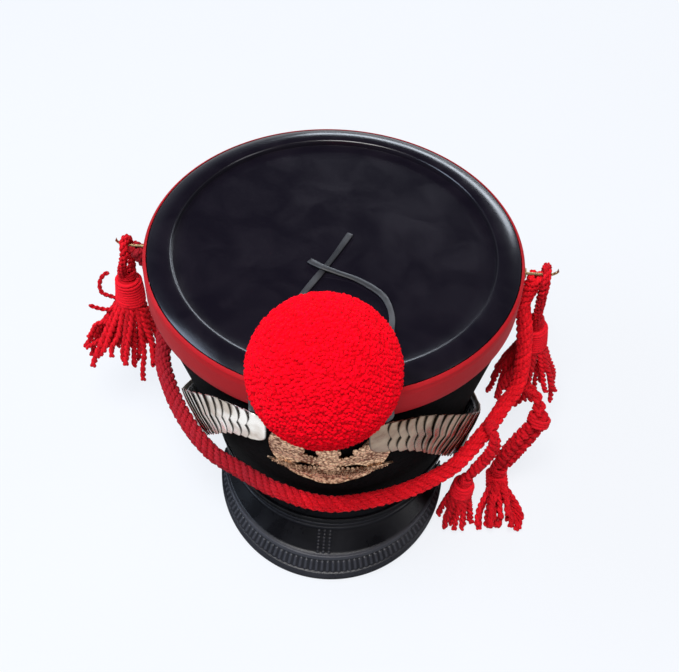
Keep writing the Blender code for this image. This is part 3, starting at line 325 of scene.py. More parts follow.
def run_along(line):
    """Distance travelled at each point of a line."""
    steps = np.linalg.norm(np.diff(line[:, :3], axis=0), axis=1)
    return np.concatenate([[0.0], np.cumsum(steps)])


def read_off(table, at):
    """Value of a two-column table at a place, on straight lines between its rows."""
    return np.interp(at, *zip(*table))


def unit(rows):
    return rows / np.linalg.norm(rows, axis=-1, keepdims=True)


def directions(line):
    return unit(np.gradient(line, axis=0))


def side_ways(line):
    """Two directions square to a line that turn as little as they can."""
    ahead = directions(line)
    start = np.cross(ahead[0], (0.31, 0.17, 0.94))
    sides = []
    for way in ahead:
        start = start - way * start.dot(way)
        start = start / np.linalg.norm(start)
        sides.append(start)
    return np.array(sides), np.cross(ahead, sides)


def wound(line, reach, pitch, phase):
    """A line that winds round another; a negative pitch winds the other way."""
    side, other = side_ways(line)
    turn = phase + TURN * run_along(line) / pitch
    reach = np.broadcast_to(reach, len(line))
    return line + (side * np.cos(turn)[:, None] + other * np.sin(turn)[:, None]) * reach[:, None]


def new_piece(name, spots, faces, **values):
    """A piece from its points and faces, with named values at every point."""
    mesh = bpy.data.meshes.new(name)
    mesh.from_pydata(spots.tolist(), [], faces)
    for label, column in values.items():
        attribute = mesh.attributes.new(label, "FLOAT", "POINT")
        attribute.data.foreach_set("value", np.asarray(column, np.float32))
    return new_object(name, mesh)


class Yarns:
    """Yarns gathered into one mesh, with turn and run as UVs and a shade of its own for each yarn."""

    def __init__(self):
        self.spots, self.faces, self.uvs, self.shades = [], [], [], []
        self.count = 0

    def sweep(self, line, side, other, section, sizes, shade):
        """A section carried along a line, with a smaller closed ring at each end."""
        ahead = directions(line)
        tip = sizes.min(axis=1)
        line = np.vstack([line[:1] - ahead[:1] * tip[0] * 0.5, line, line[-1:] + ahead[-1:] * tip[-1] * 0.5])
        side, other = (np.vstack([way[:1], way, way[-1:]]) for way in (side, other))
        sizes = np.vstack([sizes[:1] * 0.6, sizes, sizes[-1:] * 0.6])
        rings = (line[:, None] + side[:, None] * (section[None, :, :1] * sizes[:, None, :1])
                 + other[:, None] * (section[None, :, 1:] * sizes[:, None, 1:]))
        run = run_along(line)
        sides = len(section)
        ring, slot = np.meshgrid(np.arange(len(line) - 1), np.arange(sides), indexing="ij")
        corners = [(0, slot), (0, slot + 1), (1, slot + 1), (1, slot)]
        faces = np.stack([(ring + up) * sides + at % sides for up, at in corners], -1)
        self.faces += (faces.reshape(-1, 4) + self.count).tolist()
        around = np.stack([at / sides for _, at in corners], -1)
        along = np.stack([run[ring + up] for up, _ in corners], -1)
        self.uvs.append(np.stack([around, along], -1).reshape(-1, 2))
        last = self.count + (len(line) - 1) * sides
        self.faces.append([self.count + index for index in reversed(range(sides))])
        self.faces.append([last + index for index in range(sides)])
        self.uvs.append(np.zeros((2 * sides, 2)))
        self.spots.append(rings.reshape(-1, 3))
        self.shades.append(np.full(len(line) * sides, shade))
        self.count += len(line) * sides

    def add(self, line, radius, sides=6, shade=0.5):
        """One round yarn."""
        turns = np.arange(sides) * TURN / sides
        section = np.column_stack([np.cos(turns), np.sin(turns)])
        sizes = np.repeat(np.broadcast_to(radius, len(line))[:, None], 2, axis=1)
        self.sweep(line, *side_ways(line), section, sizes, shade)

    def rope(self, line, strands, reach, pitch, **plies):
        """Strands wound one way, each of plies wound the other way."""
        for strand in range(strands):
            self.plied(wound(line, reach, pitch, TURN * strand / strands), **plies)

    def plied(self, middle, plies, ply_reach, ply_radius, ply_pitch, size=1.0, sides=6):
        """Plies wound round one line."""
        size = np.broadcast_to(size, len(middle))
        base = random.uniform(0.35, 0.65)
        start = random.uniform(0, TURN)
        for ply in range(plies):
            path = wound(middle, ply_reach * size, -ply_pitch, start + TURN * ply / plies)
            self.add(path, ply_radius * size, sides, base + random.uniform(-0.2, 0.2))

    def plait(self, line, size, pitch):
        """Three plied strands that cross over one another in a flattened plait."""
        side, other = side_ways(line)
        for strand in range(3):
            turn = TURN * (run_along(line) / pitch + strand / 3)
            sway = side * np.sin(turn)[:, None] * 0.60 + other * np.sin(2 * turn)[:, None] * 0.34
            self.plied(line + sway * size[:, None], plies=3, ply_reach=0.20, ply_radius=0.21,
                       ply_pitch=8.5 * MM, size=size)

    def wrap(self, middle, ahead, reach, turns, radius):
        """A yarn wrapped round a place as a collar or knot."""
        ahead = Vector(ahead).normalized()
        side = np.array(ahead.orthogonal().normalized())
        other = np.cross(np.array(ahead), side)
        turn = np.linspace(0, TURN * turns, int(16 * turns))[:, None]
        rise = (turn / TURN - turns / 2) * radius * 1.75
        line = middle + side * np.cos(turn) * reach + other * np.sin(turn) * reach + np.array(ahead) * rise
        self.add(line, radius, shade=random.uniform(0.4, 0.7))

    def piece(self, name):
        item = new_piece(name, np.vstack(self.spots), self.faces, shade=np.concatenate(self.shades))
        uvs = np.vstack(self.uvs).astype(np.float32).ravel()
        item.data.uv_layers.new(name="UVMap").data.foreach_set("uv", uvs)
        item.data.shade_smooth()
        return item


def give_material(piece, material):
    piece.data.materials.clear()
    piece.data.materials.append(material)


def dress(piece, material, slot, *nodes):
    """Gives a piece its material, hangs it on the one body and hides the CAD nodes it stands for."""
    give_material(piece, material)
    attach(piece, "root")
    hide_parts(*nodes)
    return piece


def in_metres(route):
    """A route of the part in metres, moved as the part moves it."""
    rows = np.array(route, float)
    rows[:, :3] = rows[:, :3] * MM + floor_shift
    return rows


def lay_cord(yarns, name, look, line, diameter, **facts):
    """Finishes a cord's yarns as a piece and dresses it."""
    piece = dress(yarns.piece(name), *look)


def rope(name, look, route, spacing, strands, diameter, **facts):
    line = smooth_line(in_metres(route), spacing)
    yarns = Yarns()
    yarns.rope(line, **strands)
    lay_cord(yarns, name, look, line, diameter, lay="hanging", **facts)


def drop(letter, material, tassel_piece):
    """A plaited drop with a knot on it and one at its tassel."""
    diameter, pitch, knot_share, route = DROPS[letter]
    line = smooth_line(in_metres(route), 1.0 * MM)
    line, size = line[:, :3], line[:, 3] * diameter / 2
    yarns = Yarns()
    yarns.plait(line, size, pitch)
    ahead = np.gradient(line, axis=0)
    for share, grow in ((knot_share, 1.0), (0.97, 1.1)):
        at = int(share * (len(line) - 1))
        yarns.wrap(line[at], ahead[at], size[at] * grow, turns=3, radius=KNOT_YARN)
    lay_cord(yarns, f"drop_plait_{letter}", (material, "red_cord", f"drop_cord_{letter}"), line, diameter,
             far_end="fitting", lay="hanging", with_pieces=[tassel_piece])


def tassel(key, material):
    """A wound head over a skirt of two-ply cords that fan out."""
    rows, cords, strays, points = TASSELS[key]
    axis = smooth_line(in_metres(points), 1.0 * MM)
    run = run_along(axis)
    length = run[-1]
    shares, widths, depths = (np.array(column) for column in zip(*rows))
    ahead = directions(axis)
    across = unit(np.array([1.0, 0, 0]) - ahead * ahead[:, :1])
    other = np.cross(ahead, across)

    def spot(share, turn, reach):
        """Places at a share of the length, a turn round the axis and a reach out of it in outline widths."""
        at = np.clip(share, 0, 1) * length
        middle, wide, deep, on = (np.column_stack([np.interp(at, run, column) for column in table.T])
                                  for table in (axis, across, other, ahead))
        width = (np.interp(share, shares, widths) * TASSEL_HEAD * reach)[:, None]
        depth = (np.interp(share, shares, depths) * TASSEL_HEAD * reach)[:, None]
        beyond = np.maximum(share - 1, 0)[:, None] * length
        place = (middle + wide * width * np.cos(turn)[:, None] + deep * depth * np.sin(turn)[:, None]
                 + on * beyond)
        place[:, 2] = np.maximum(place[:, 2], LOWEST_YARN)
        return place

    yarns = Yarns()
    core = np.linspace(0, HEAD_END + 0.04, 14)
    still = np.zeros(len(core))
    core_radius = np.interp(core, shares, depths) * TASSEL_HEAD - HEAD_YARN
    yarns.add(spot(core, still, still), core_radius, sides=16, shade=0.3)
    turns = HEAD_END * length / HEAD_PITCH
    climb = np.linspace(0.02, HEAD_END, int(turns * 18))
    inset = 1 - 1.0 * MM / (np.interp(climb, shares, depths) * TASSEL_HEAD)
    yarns.add(spot(climb, np.linspace(0, TURN * turns, len(climb)), inset), HEAD_YARN, shade=1.0)
    neck = HEAD_END + 0.02
    for index in range(cords):
        turn = TURN * (index + random.uniform(-0.3, 0.3)) / cords
        sway = random.uniform(-0.35, 0.35)
        reach = random.uniform(0.42, 0.62) if index % 3 == 2 else random.uniform(0.82, 1.08)
        end = random.uniform(0.84, 1.06)
        marks = np.array([HEAD_END - 0.04, neck, 0.40, 0.55, 0.72, 0.88, 1.0])
        marks[2:] = neck + (marks[2:] - neck) * (end - HEAD_END) / (1 - HEAD_END)
        fall = np.linspace(0, 1, len(marks)) ** 1.5
        wobble = np.array([random.uniform(-0.12, 0.12) for _ in marks]) * fall
        path = spot(marks, turn + sway * fall + wobble, 0.80 + (reach - 0.80) * np.minimum(fall * 2, 1))
        size = random.uniform(0.88, 1.05)
        yarns.plied(smooth_line(path, 1.3 * MM), plies=2, ply_reach=1.12 * MM * size,
                    ply_radius=1.34 * MM * size, ply_pitch=9.5 * MM)
    if rows is TASSEL_HANGING:
        yarns.wrap(axis[0] - ahead[0] * 3 * MM, -ahead[0], reach=5.0 * MM, turns=3, radius=1.2 * MM)
    at = int(HEAD_END * (len(axis) - 1))
    for stray in strays:
        points = np.array(stray) * MM
        path = axis[at] + across[at] * points[:, :1] - other[at] * points[:, 1:2] + ahead[at] * points[:, 2:]
        yarns.plied(smooth_line(path, 1.2 * MM), plies=2, ply_reach=0.85 * MM, ply_radius=1.0 * MM,
                    ply_pitch=7.5 * MM, sides=5)
    return dress(yarns.piece(f"tassel_{key}_yarns"), material, "red_cord", f"tassel_{key}")


# The felt and what is laid on it
def oval_normal(angle):
    return Vector((math.sin(angle) / BASE_HALF_WIDTH, -math.cos(angle) / BASE_HALF_DEPTH, 0)).normalized()


def rim_point(angle, offset, height):
    """Point at a level distance from the rim's oval, the angle counted from the front towards +X."""
    on_oval = Vector((BASE_HALF_WIDTH * math.sin(angle), -BASE_HALF_DEPTH * math.cos(angle), height))
    return on_oval + oval_normal(angle) * offset


def crown_point(angle, radius, height):
    across = radius * math.sin(angle)
    return Vector((CROWN_SHIFT + across, -radius * math.cos(angle), height - across * math.tan(CROWN_LEAN)))


def wall(angle, height, offset=0.0):
    """Point of the felt's outer face below the band, or at a level distance from it."""
    top = crown_point(angle, FELT_TOP_RADIUS, BAND_BOTTOM)
    return rim_point(angle, 0, 0).lerp(top, height / BAND_BOTTOM) + oval_normal(angle) * offset


def wall_normal(angle, height):
    step = 0.001
    along = wall(angle + step, height) - wall(angle - step, height)
    up = wall(angle, height + step) - wall(angle, height - step)
    return along.cross(up).normalized()


def strap_frame(side, share):
    """Place, forward, outward and sideways directions at a share of a chin strap's line."""
    def sample(at):
        at = min(max(at, 0.0), 1.0) * (len(STRAP_ROWS) - 1)
        span = min(int(at), len(STRAP_ROWS) - 2)
        start, end = STRAP_ROWS[span:span + 2]
        before = STRAP_ROWS[span - 1] if span else start * 2 - end
        after = STRAP_ROWS[span + 2] if span + 2 < len(STRAP_ROWS) else end * 2 - start
        return bent(before, start, end, after, at - span)

    def spot(at):
        angle, height, distance, _ = sample(at)
        return wall(side * math.radians(angle), BAND_BOTTOM * height, STRAP_STANDOFF * distance)

    angle, height, _, width = sample(share)
    step = 0.002
    forward = (spot(min(share + step, 1)) - spot(max(share - step, 0))).normalized()
    outward = wall_normal(side * math.radians(angle), BAND_BOTTOM * height)
    outward = (outward - forward * outward.dot(forward)).normalized()
    return spot(share), forward, outward, outward.cross(forward)


def strap_shares(side):
    """Shares along a strap that lie one scale apart, the scales growing towards the boss."""
    fine = np.linspace(0, 1, 401)
    run = run_along(np.array([strap_frame(side, share)[0] for share in fine]))
    density = 1 / read_off(SCALE_PITCHES, fine)
    counted = np.concatenate([[0.0], np.cumsum(np.diff(run) * (density[1:] + density[:-1]) / 2)])
    even = np.linspace(0, counted[-1], round(counted[-1]) + 1)
    return np.interp(even, counted, fine)


def crown_surface(radius):
    """Height of the crown's upper side at a distance from its middle, before the lean."""
    return CROWN_HEIGHT - CROWN_SINK * read_off(CROWN_DROPS, radius / CROWN_RIM_RADIUS)


def lace(side, name, material):
    """A flat thong up the felt, over the band and rim and loosely across the crown."""
    lift = LACE_THICKNESS / 2 + GAP
    end, forward, outward, _ = strap_frame(side, 1.0)
    start = end + forward * (SCALE_PITCH * 0.2 + LACE_HALF_WIDTH + 2 * GAP) + outward * SCALE_THICKNESS
    angle = math.atan2(LACES[name][0][0], -LACES[name][0][1])
    start_angle = math.atan2(start.x, -start.y)
    route = [(start, outward)]
    clear = BAND_RADIUS - FELT_TOP_RADIUS + 2 * lift
    for share, height in ((0.0, 0.92), (0.5, 0.965)):
        way = start_angle + (angle - start_angle) * share
        level = BAND_BOTTOM * height
        route.append((wall(way, level, LACE_START + (clear - LACE_START) * share), wall_normal(way, level)))
    radial = (crown_point(angle, 1, 0) - crown_point(angle, 0, 0)).normalized()
    for up in (0.02, 0.30, 0.65, 0.96):
        height = BAND_BOTTOM + TOP_BAND_WIDTH * up
        route.append((crown_point(angle, BAND_RADIUS + lift + GAP, height), radial))
    route.append((crown_point(angle, BAND_RADIUS - GAP, CROWN_HEIGHT + lift), (radial + UP).normalized()))
    for share in (0.975, 0.93):
        route.append((crown_point(angle, CROWN_RIM_RADIUS * share, CROWN_HEIGHT + lift + GAP), UP))
    for u, v, over in LACES[name]:
        radius = math.hypot(u, v) * CROWN_RIM_RADIUS
        nearby = [crown_surface(radius + step * LACE_THICKNESS) for step in (-2, -1, 0, 1, 2)]
        height = max(nearby) + lift + over * 0.75 * LACE_THICKNESS + GAP
        route.append((crown_point(math.atan2(u, -v), radius, height), UP))
    rotation = cap_place.to_3x3()
    rows = np.array([[*(cap_place @ point), *(rotation @ facing)] for point, facing in route])
    rows = smooth_line(rows, 1.0 * MM)
    line, facing = rows[:, :3], unit(rows[:, 3:])
    ahead = directions(line)
    across = unit(np.cross(ahead, facing))
    width = LACE_HALF_WIDTH * (1 + 0.10 * np.sin(run_along(line) / (7 * MM)))
    sizes = np.column_stack([width, np.full(len(line), LACE_THICKNESS / 2)])
    yarns = Yarns()
    yarns.sweep(line, across, np.cross(across, ahead), np.array(LACE_SECTION), sizes, 0.5)
    lay_cord(yarns, f"thong_{name}", (material, "black_leather", f"lace_{name}"), line, 2 * LACE_HALF_WIDTH,
             far_end="bare", lay="loose")


# Modelling by hand
def leave_edit():
    if bpy.context.mode == "EDIT_MESH":
        bpy.ops.object.mode_set(mode="OBJECT")


def edit_all():
    bpy.ops.object.mode_set(mode="EDIT")
    bpy.ops.mesh.select_all(action="SELECT")


def begin(primitive, **size):
    """Adds a primitive alone in the selection and opens it for editing, all selected."""
    leave_edit()
    bpy.ops.object.select_all(action="DESELECT")
    primitive(**size)
    edit_all()
    return bpy.context.object


def pick(piece, test, kind="VERT"):
    """Selects the vertices or faces whose middle and normal pass the test, in edit mode."""
    bpy.ops.mesh.select_mode(type=kind)
    bpy.ops.mesh.select_all(action="DESELECT")
    shape = bmesh.from_edit_mesh(piece.data)
    for element in shape.verts if kind == "VERT" else shape.faces:
        middle = element.co if kind == "VERT" else element.calc_center_median()
        element.select_set(bool(test(middle, element.normal)))
    shape.select_flush_mode()
    bmesh.update_edit_mesh(piece.data)


def raise_up(height):
    """Extrudes what is selected straight up."""
    bpy.ops.mesh.extrude_region_move(TRANSFORM_OT_translate={"value": (0, 0, height)})


def face_outwards():
    bpy.ops.mesh.select_all(action="SELECT")
    bpy.ops.mesh.normals_make_consistent(inside=False)


def fill_open_edges():
    bpy.ops.mesh.select_mode(type="EDGE")
    bpy.ops.mesh.select_all(action="DESELECT")
    bpy.ops.mesh.select_non_manifold()
    bpy.ops.mesh.edge_face_add()


def draw_rings(rows):
    """Draws the selected ring of edges out through rows of half width, half depth, middle and height."""
    for (width, depth, middle, height), (wider, deeper, beside, higher) in zip(rows, rows[1:]):
        step = (beside - middle, 0, higher - height)
        bpy.ops.mesh.extrude_region_move(TRANSFORM_OT_translate={"value": step})
        growth = (wider / width, deeper / depth, 1)
        bpy.ops.transform.resize(value=growth, center_override=(beside, 0, higher))


def turned(rows, sides, poles=False, ring_closed=False):
    """A piece drawn ring by ring from a circle, with a pole at both ends or its section closed on itself."""
    width, depth, middle, height = rows[0]
    piece = begin(bpy.ops.mesh.primitive_circle_add, vertices=sides, radius=1)
    bpy.ops.transform.resize(value=(width, depth, 1), center_override=(0, 0, 0))
    bpy.ops.transform.translate(value=(middle, 0, height))
    if poles:
        bpy.ops.mesh.edge_face_add()
        bpy.ops.mesh.poke()
        pick(piece, lambda spot, _: math.hypot(spot.x - middle, spot.y) > min(width, depth) * 0.9)
    draw_rings(rows)
    if poles:
        bpy.ops.mesh.merge(type="CENTER")
    if ring_closed:
        bpy.ops.mesh.select_all(action="SELECT")
        bpy.ops.mesh.remove_doubles(threshold=0.01 * MM)
    face_outwards()
    return piece


def round_turned(rows, sides, **ends):
    """As turned, from rows of radius and height."""
    return turned([(radius, radius, 0, height) for radius, height in rows], sides, **ends)


def set_down(piece, name, place, smooth=35.0, *look):
    """Leaves edit mode, names the piece, applies its place to its mesh and dresses it."""
    leave_edit()
    bpy.ops.object.select_all(action="DESELECT")
    piece.select_set(True)
    bpy.context.view_layer.objects.active = piece
    piece.name = piece.data.name = name
    piece.matrix_world = place @ piece.matrix_world
    bpy.ops.object.transform_apply(location=True, rotation=True, scale=True)
    bpy.ops.object.shade_smooth_by_angle(angle=math.radians(smooth))
    if look:
        dress(piece, *look)


def modify(piece, kind, **settings):
    """Adds a modifier and applies it."""
    leave_edit()
    bpy.context.view_layer.objects.active = piece
    modifier = piece.modifiers.new("shape", kind)
    for name, value in settings.items():
        setattr(modifier, name, value)
    bpy.ops.object.modifier_apply(modifier=modifier.name)


def repeated(pattern, name, places, shades=None):
    """Copies of a modelled pattern's mesh at many places, gathered into one piece; the pattern is used up."""
    leave_edit()
    mesh = pattern.data
    count = len(mesh.vertices)
    spots = np.ones((count, 4))
    spots[:, :3] = [vert.co for vert in mesh.vertices]
    matrices = np.array([np.array(place) for place in places])
    moved = np.einsum("nij,vj->nvi", matrices, spots)[..., :3]
    faces = [[corner + first for corner in polygon.vertices]
             for first in range(0, count * len(places), count) for polygon in mesh.polygons]
    values = {"shade": np.repeat([0.5] * len(places) if shades is None else shades, count)}
    if "rim" in mesh.attributes:
        values["rim"] = np.tile([point.value for point in mesh.attributes["rim"].data], len(places))
    bpy.data.objects.remove(pattern)
    return new_piece(name, moved.reshape(-1, 3), faces, **values)


def joined(pieces):
    """Several pieces as one."""
    bpy.ops.object.select_all(action="DESELECT")
    for piece in pieces:
        piece.select_set(True)
    bpy.context.view_layer.objects.active = pieces[0]
    bpy.ops.object.join()
    return pieces[0]


def axes_place(x, y, z, spot):
    """Place with its three axes and its origin given."""
    return Matrix([*zip(x, y, z, spot), (0, 0, 0, 1)])


def at_height(height, offset):
    """Row of the felt's wall at a height: half width, half depth, middle and height."""
    share = height / BAND_BOTTOM
    width = BASE_HALF_WIDTH + (FELT_TOP_RADIUS - BASE_HALF_WIDTH) * share + offset
    depth = BASE_HALF_DEPTH + (FELT_TOP_RADIUS - BASE_HALF_DEPTH) * share + offset
    return width, depth, CROWN_SHIFT * share, height


def felt_wall(material):
    """Felt drawn up from the oval rim to the round top, where the ring leans with the crown."""
    rows = [at_height(0, 0), at_height(BAND_BOTTOM, 0)]
    piece = turned(rows[:1], OVAL_SIDES)
    draw_rings(rows)
    middle = (CROWN_SHIFT, 0, BAND_BOTTOM)
    bpy.ops.transform.rotate(value=-CROWN_LEAN, orient_axis="Y", center_override=middle)
    raise_up(CROWN_HEIGHT - CROWN_RIM_DEPTH - GAP - BAND_BOTTOM)
    bpy.ops.mesh.select_all(action="SELECT")
    bpy.ops.mesh.subdivide()
    face_outwards()
    modify(piece, "SOLIDIFY", thickness=FELT_THICKNESS, offset=-1.0)
    set_down(piece, "felt_wall", cap_place, 50.0, material, "black_felt", "body")


def crown_leather(material):
    """The crown's disc: a rounded border stepped up round a sunken middle."""
    upper = [(0.012, 0.86), (0.20, 0.90), (0.50, 0.97), (0.80, 1.00), (0.862, 1.00), (0.866, 0.94),
             (0.869, 0.44), (0.873, 0.20), (0.880, 0.09), (0.892, 0.03), (0.908, 0.00), (0.925, 0.03),
             (0.941, 0.10), (0.956, 0.21), (0.970, 0.34), (0.982, 0.47), (0.992, 0.58), (1.0, 0.70)]
    rows = [(share * CROWN_RIM_RADIUS, -CROWN_SINK * drop) for share, drop in upper]
    rows += [(CROWN_RIM_RADIUS, 0.4 * MM - CROWN_RIM_DEPTH), (CROWN_RIM_RADIUS - 0.4 * MM, -CROWN_RIM_DEPTH),
             (FELT_TOP_RADIUS - FELT_THICKNESS - 2 * GAP, -CROWN_RIM_DEPTH)]
    rows += [(share * CROWN_RIM_RADIUS, -CROWN_SINK - CROWN_LEATHER) for share in (0.855, 0.20, 0.012)]
    piece = round_turned(rows, ROUND_SIDES, poles=True)
    set_down(piece, "crown_leather", crown_place, 40.0, material, "black_leather", "crown_top")


def red_band(material):
    """The broad band under the crown, its upper edge turned as a fine roll."""
    rows = [(0.0, 0.0), (0.55, 0.0), (0.85, 0.012), (1.0, 0.045), (1.0, 0.30), (1.02, 0.62), (1.0, 0.80),
            (0.93, 0.815), (0.93, 0.825), (1.0, 0.84), (0.94, 0.865), (0.74, 0.89), (0.48, 0.912),
            (0.20, 0.93), (0.0, 0.938), (0.0, 0.0)]
    inner = FELT_TOP_RADIUS + GAP
    low = BAND_BOTTOM - CROWN_HEIGHT
    rows = [(inner + TOP_BAND_THICKNESS * out, low + TOP_BAND_WIDTH * up) for out, up in rows]
    piece = round_turned(rows, ROUND_SIDES, ring_closed=True)
    set_down(piece, "red_band", crown_place, 40.0, material, "red_leather", "top_band")


def rim_band(material):
    """The leather band round the head opening, with a bead along each edge."""
    face = [(0.0, 0.9), (0.03, 1.5), (0.09, 1.6), (0.15, 1.5), (0.19, 1.2), (0.24, 1.15),
            (0.76, 1.15), (0.81, 1.2), (0.85, 1.5), (0.91, 1.6), (0.97, 1.5), (1.0, 0.9),
            (1.0, 0.0), (0.0, 0.0), (0.0, 0.9)]
    rows = [at_height(BASE_BAND_WIDTH * up, GAP + out * MM) for up, out in face]
    piece = turned(rows, OVAL_SIDES, ring_closed=True)
    set_down(piece, "rim_band", cap_place, 50.0, material, "black_leather", "base_band")


def slope_point(angle, along, rise):
    """Point of the peak: a distance down its slope from the rim's oval, and a rise square to the slope."""
    out = along * math.cos(PEAK_SLOPE) + rise * math.sin(PEAK_SLOPE)
    up = PEAK_ROOT_RISE - along * math.sin(PEAK_SLOPE) + rise * math.cos(PEAK_SLOPE)
    return rim_point(angle, out, up)


def bump_row(value, pitch, width):
    """A row of rounded bumps: 1 on each bump's top, 0 between them."""
    away = abs((value / pitch + 0.5) % 1.0 - 0.5) * pitch
    return max(0.0, 1 - (away / width) ** 2) ** 1.5


def peak_relief(angle, share):
    """Rise of the tooling: ridge, ribbed margin, stitched middle and two lines at the root."""
    rise = read_off(PEAK_RISES, share) * PEAK_RIDGE
    if 0.69 < share < 0.88:
        arc = angle * (BASE_HALF_DEPTH + 0.75 * PEAK_LENGTH)
        edge = min((share - 0.69) / 0.02, (0.88 - share) / 0.02, 1.0)
        rise += 0.55 * MM * bump_row(arc, PEAK_RIB_PITCH, 1.55 * MM) * edge
    down = share * PEAK_LENGTH
    middle = angle * (BASE_HALF_DEPTH + down)
    if abs(middle) < 7.2 * MM and 0.14 < share < 0.55:
        column = bump_row(middle, 4.6 * MM, 1.25 * MM)
        rise += 0.45 * MM * column * bump_row(down, 2.7 * MM, 0.95 * MM)
    for line, height in ((0.055, 0.45), (0.115, 0.3)):
        rise += height * MM * max(0.0, 1 - ((share - line) / 0.02) ** 2)
    return rise


def peak_leather(material):
    """The peak: a grid laid down the slope, tooled, rolled over its edge and back along the underside."""
    narrowing = math.acos((PEAK_END_REACH / PEAK_LENGTH) ** (1 / PEAK_FULLNESS)) / (0.5 * math.pi)
    end = PEAK_HALF_ANGLE * narrowing
    start = (BASE_BAND_FACE + GAP) / math.cos(PEAK_SLOPE) + 0.4 * MM
    piece = begin(bpy.ops.mesh.primitive_grid_add, x_subdivisions=PEAK_COLUMNS, y_subdivisions=PEAK_ROWS,
                  size=2)
    leave_edit()
    highlight_and_wear = piece.data.attributes.new("rim", "FLOAT", "POINT")
    for vert in piece.data.vertices:
        angle = vert.co.x * end
        row = round((1 - vert.co.y) / 2 * PEAK_ROWS)
        reach = PEAK_LENGTH * math.cos(0.5 * math.pi * angle / PEAK_HALF_ANGLE) ** PEAK_FULLNESS
        step = row - PEAK_TOP_ROWS
        if step <= 0:
            share = (row / PEAK_TOP_ROWS) ** 0.92
            along = start + (reach - 0.5 * MM - start) * share
            rise = peak_relief(angle, share) if reach > 12 * MM else 0.0
            # Raised tooling and the margin turn lighter: painted highlight together with rubbed wear.
            highlight_and_wear.data[vert.index].value = min(0.8, rise / (0.9 * MM)) * (0.5 if share > 0.9 else 1.0)
        elif step <= len(PEAK_EDGE):
            outward, rise = PEAK_EDGE[step - 1]
            along = reach + outward
        else:
            outward, rise = PEAK_EDGE[-1]
            along = reach + outward + (min(start, reach) - reach - outward) * (step - len(PEAK_EDGE)) / 4
        vert.co = slope_point(angle, along, rise)
    edit_all()
    fill_open_edges()
    face_outwards()
    leave_edit()
    lip_rows = ((-0.6, 0.0), (-0.6, 2.3), (0.5, 1.5), (0.85, 1.25), (1.0, 0.8), (1.0, 0.0), (-0.6, 0.0))
    lip = turned([at_height(PEAK_LIP_HEIGHT * up, BASE_BAND_FACE + GAP + out * MM) for up, out in lip_rows],
                 200, ring_closed=True)
    pick(lip, lambda spot, _: spot.y > -BASE_HALF_DEPTH * math.cos(end))
    bpy.ops.mesh.delete(type="VERT")
    fill_open_edges()
    leave_edit()
    set_down(joined([piece, lip]), "peak_leather", cap_place, 50.0, material, "black_leather", "peak")


def on_plate(u, v, height=0.0):
    return Vector((u * PLATE_HALF_WIDTH, v * PLATE_HEIGHT, height))


def sheet_form(outline, height, chamfer):
    """A flat form of the plate: its outline raised, with a rounded upper edge."""
    piece = begin(bpy.ops.mesh.primitive_circle_add, vertices=len(outline), radius=1, fill_type="NGON")
    leave_edit()
    for vert, (u, v) in zip(piece.data.vertices, outline):
        vert.co = on_plate(u, v)
    edit_all()
    bpy.ops.mesh.subdivide(number_cuts=2, smoothness=1.0)
    raise_up(height - chamfer)
    bpy.ops.mesh.inset(thickness=chamfer * 0.5, depth=chamfer * 0.65)
    bpy.ops.mesh.inset(thickness=chamfer, depth=chamfer * 0.35)
    face_outwards()
    leave_edit()
    return piece


def blade():
    """A feather one unit long and one wide: a rounded blade with a raised quill."""
    piece = begin(bpy.ops.mesh.primitive_circle_add, vertices=16, radius=0.5, fill_type="NGON",
                  location=(0, 0.5, 0))
    raise_up(0.45)
    for thickness, depth in ((0.07, 0.22), (0.20, 0.08), (0.13, 0.25)):
        bpy.ops.mesh.inset(thickness=thickness, depth=depth)
    return piece


def bead():
    """A granule of the plate's stippling."""
    piece = begin(bpy.ops.mesh.primitive_cone_add, vertices=6, radius1=0.5, radius2=0.36, depth=0.3,
                  location=(0, 0, 0.15))
    pick(piece, lambda _, normal: normal.z > 0.9, "FACE")
    bpy.ops.mesh.inset(thickness=0.16, depth=0.12)
    return piece


def feather(foot, tip, width, thickness):
    """Place of a feather that lies flat from its foot towards its tip."""
    ahead = Vector((tip.x - foot.x, tip.y - foot.y, 0)).normalized()
    across = Vector((ahead.y, -ahead.x, 0))
    return axes_place(across * width * MM, ahead * (tip - foot).length, UP * thickness * MM, foot)


def inside(outline, u, v):
    """True where a point lies within an outline."""
    hits = 0
    for (a, b), (c, d) in zip(outline, outline[1:] + outline[:1]):
        if (b > v) != (d > v) and u < (c - a) * (v - b) / (d - b) + a:
            hits += 1
    return hits % 2 == 1


def feather_places():
    """Feathers of wings, tail, fringe and breast."""
    places = []
    for side in (-1, 1):
        for share in np.linspace(0, 1, 9).tolist():
            foot = on_plate(side * (0.20 + 0.64 * share), 0.44 + 0.08 * share, 1.0 * MM)
            tip = on_plate(side * (0.22 + 0.66 * share), 0.335 - 0.05 * share ** 1.5)
            places.append(feather(foot, tip, 4.3, 1.2))
        for share in np.linspace(0, 1, 6).tolist():
            foot = on_plate(side * (0.42 + 0.43 * share), 0.57 + 0.10 * share, 1.25 * MM)
            tip = on_plate(side * (0.46 + 0.46 * share), 0.44 + 0.03 * share)
            places.append(feather(foot, tip, 4.6, 1.1))
    for lean in np.linspace(-1, 1, 7).tolist():
        foot = on_plate(0.06 * lean, 0.33, 1.1 * MM)
        places.append(feather(foot, on_plate(0.31 * lean, 0.02 + 0.05 * lean * lean), 4.6, 1.0))
    for lean in np.linspace(-1, 1, 17).tolist():
        foot = on_plate(0.62 * lean, 0.235, 0.75 * MM)
        places.append(feather(foot, on_plate(0.70 * lean, 0.035 + 0.10 * lean * lean), 3.3, 1.2))
    for row in range(6):
        for column in range(5 - row % 2):
            foot = on_plate((column - (4 - row % 2) / 2) * 0.075, 0.72 - 0.062 * row, 2.2 * MM)
            places.append(feather(foot, foot - Vector((0, 6.4 * MM, 0)), 3.4, 0.75))
    return places


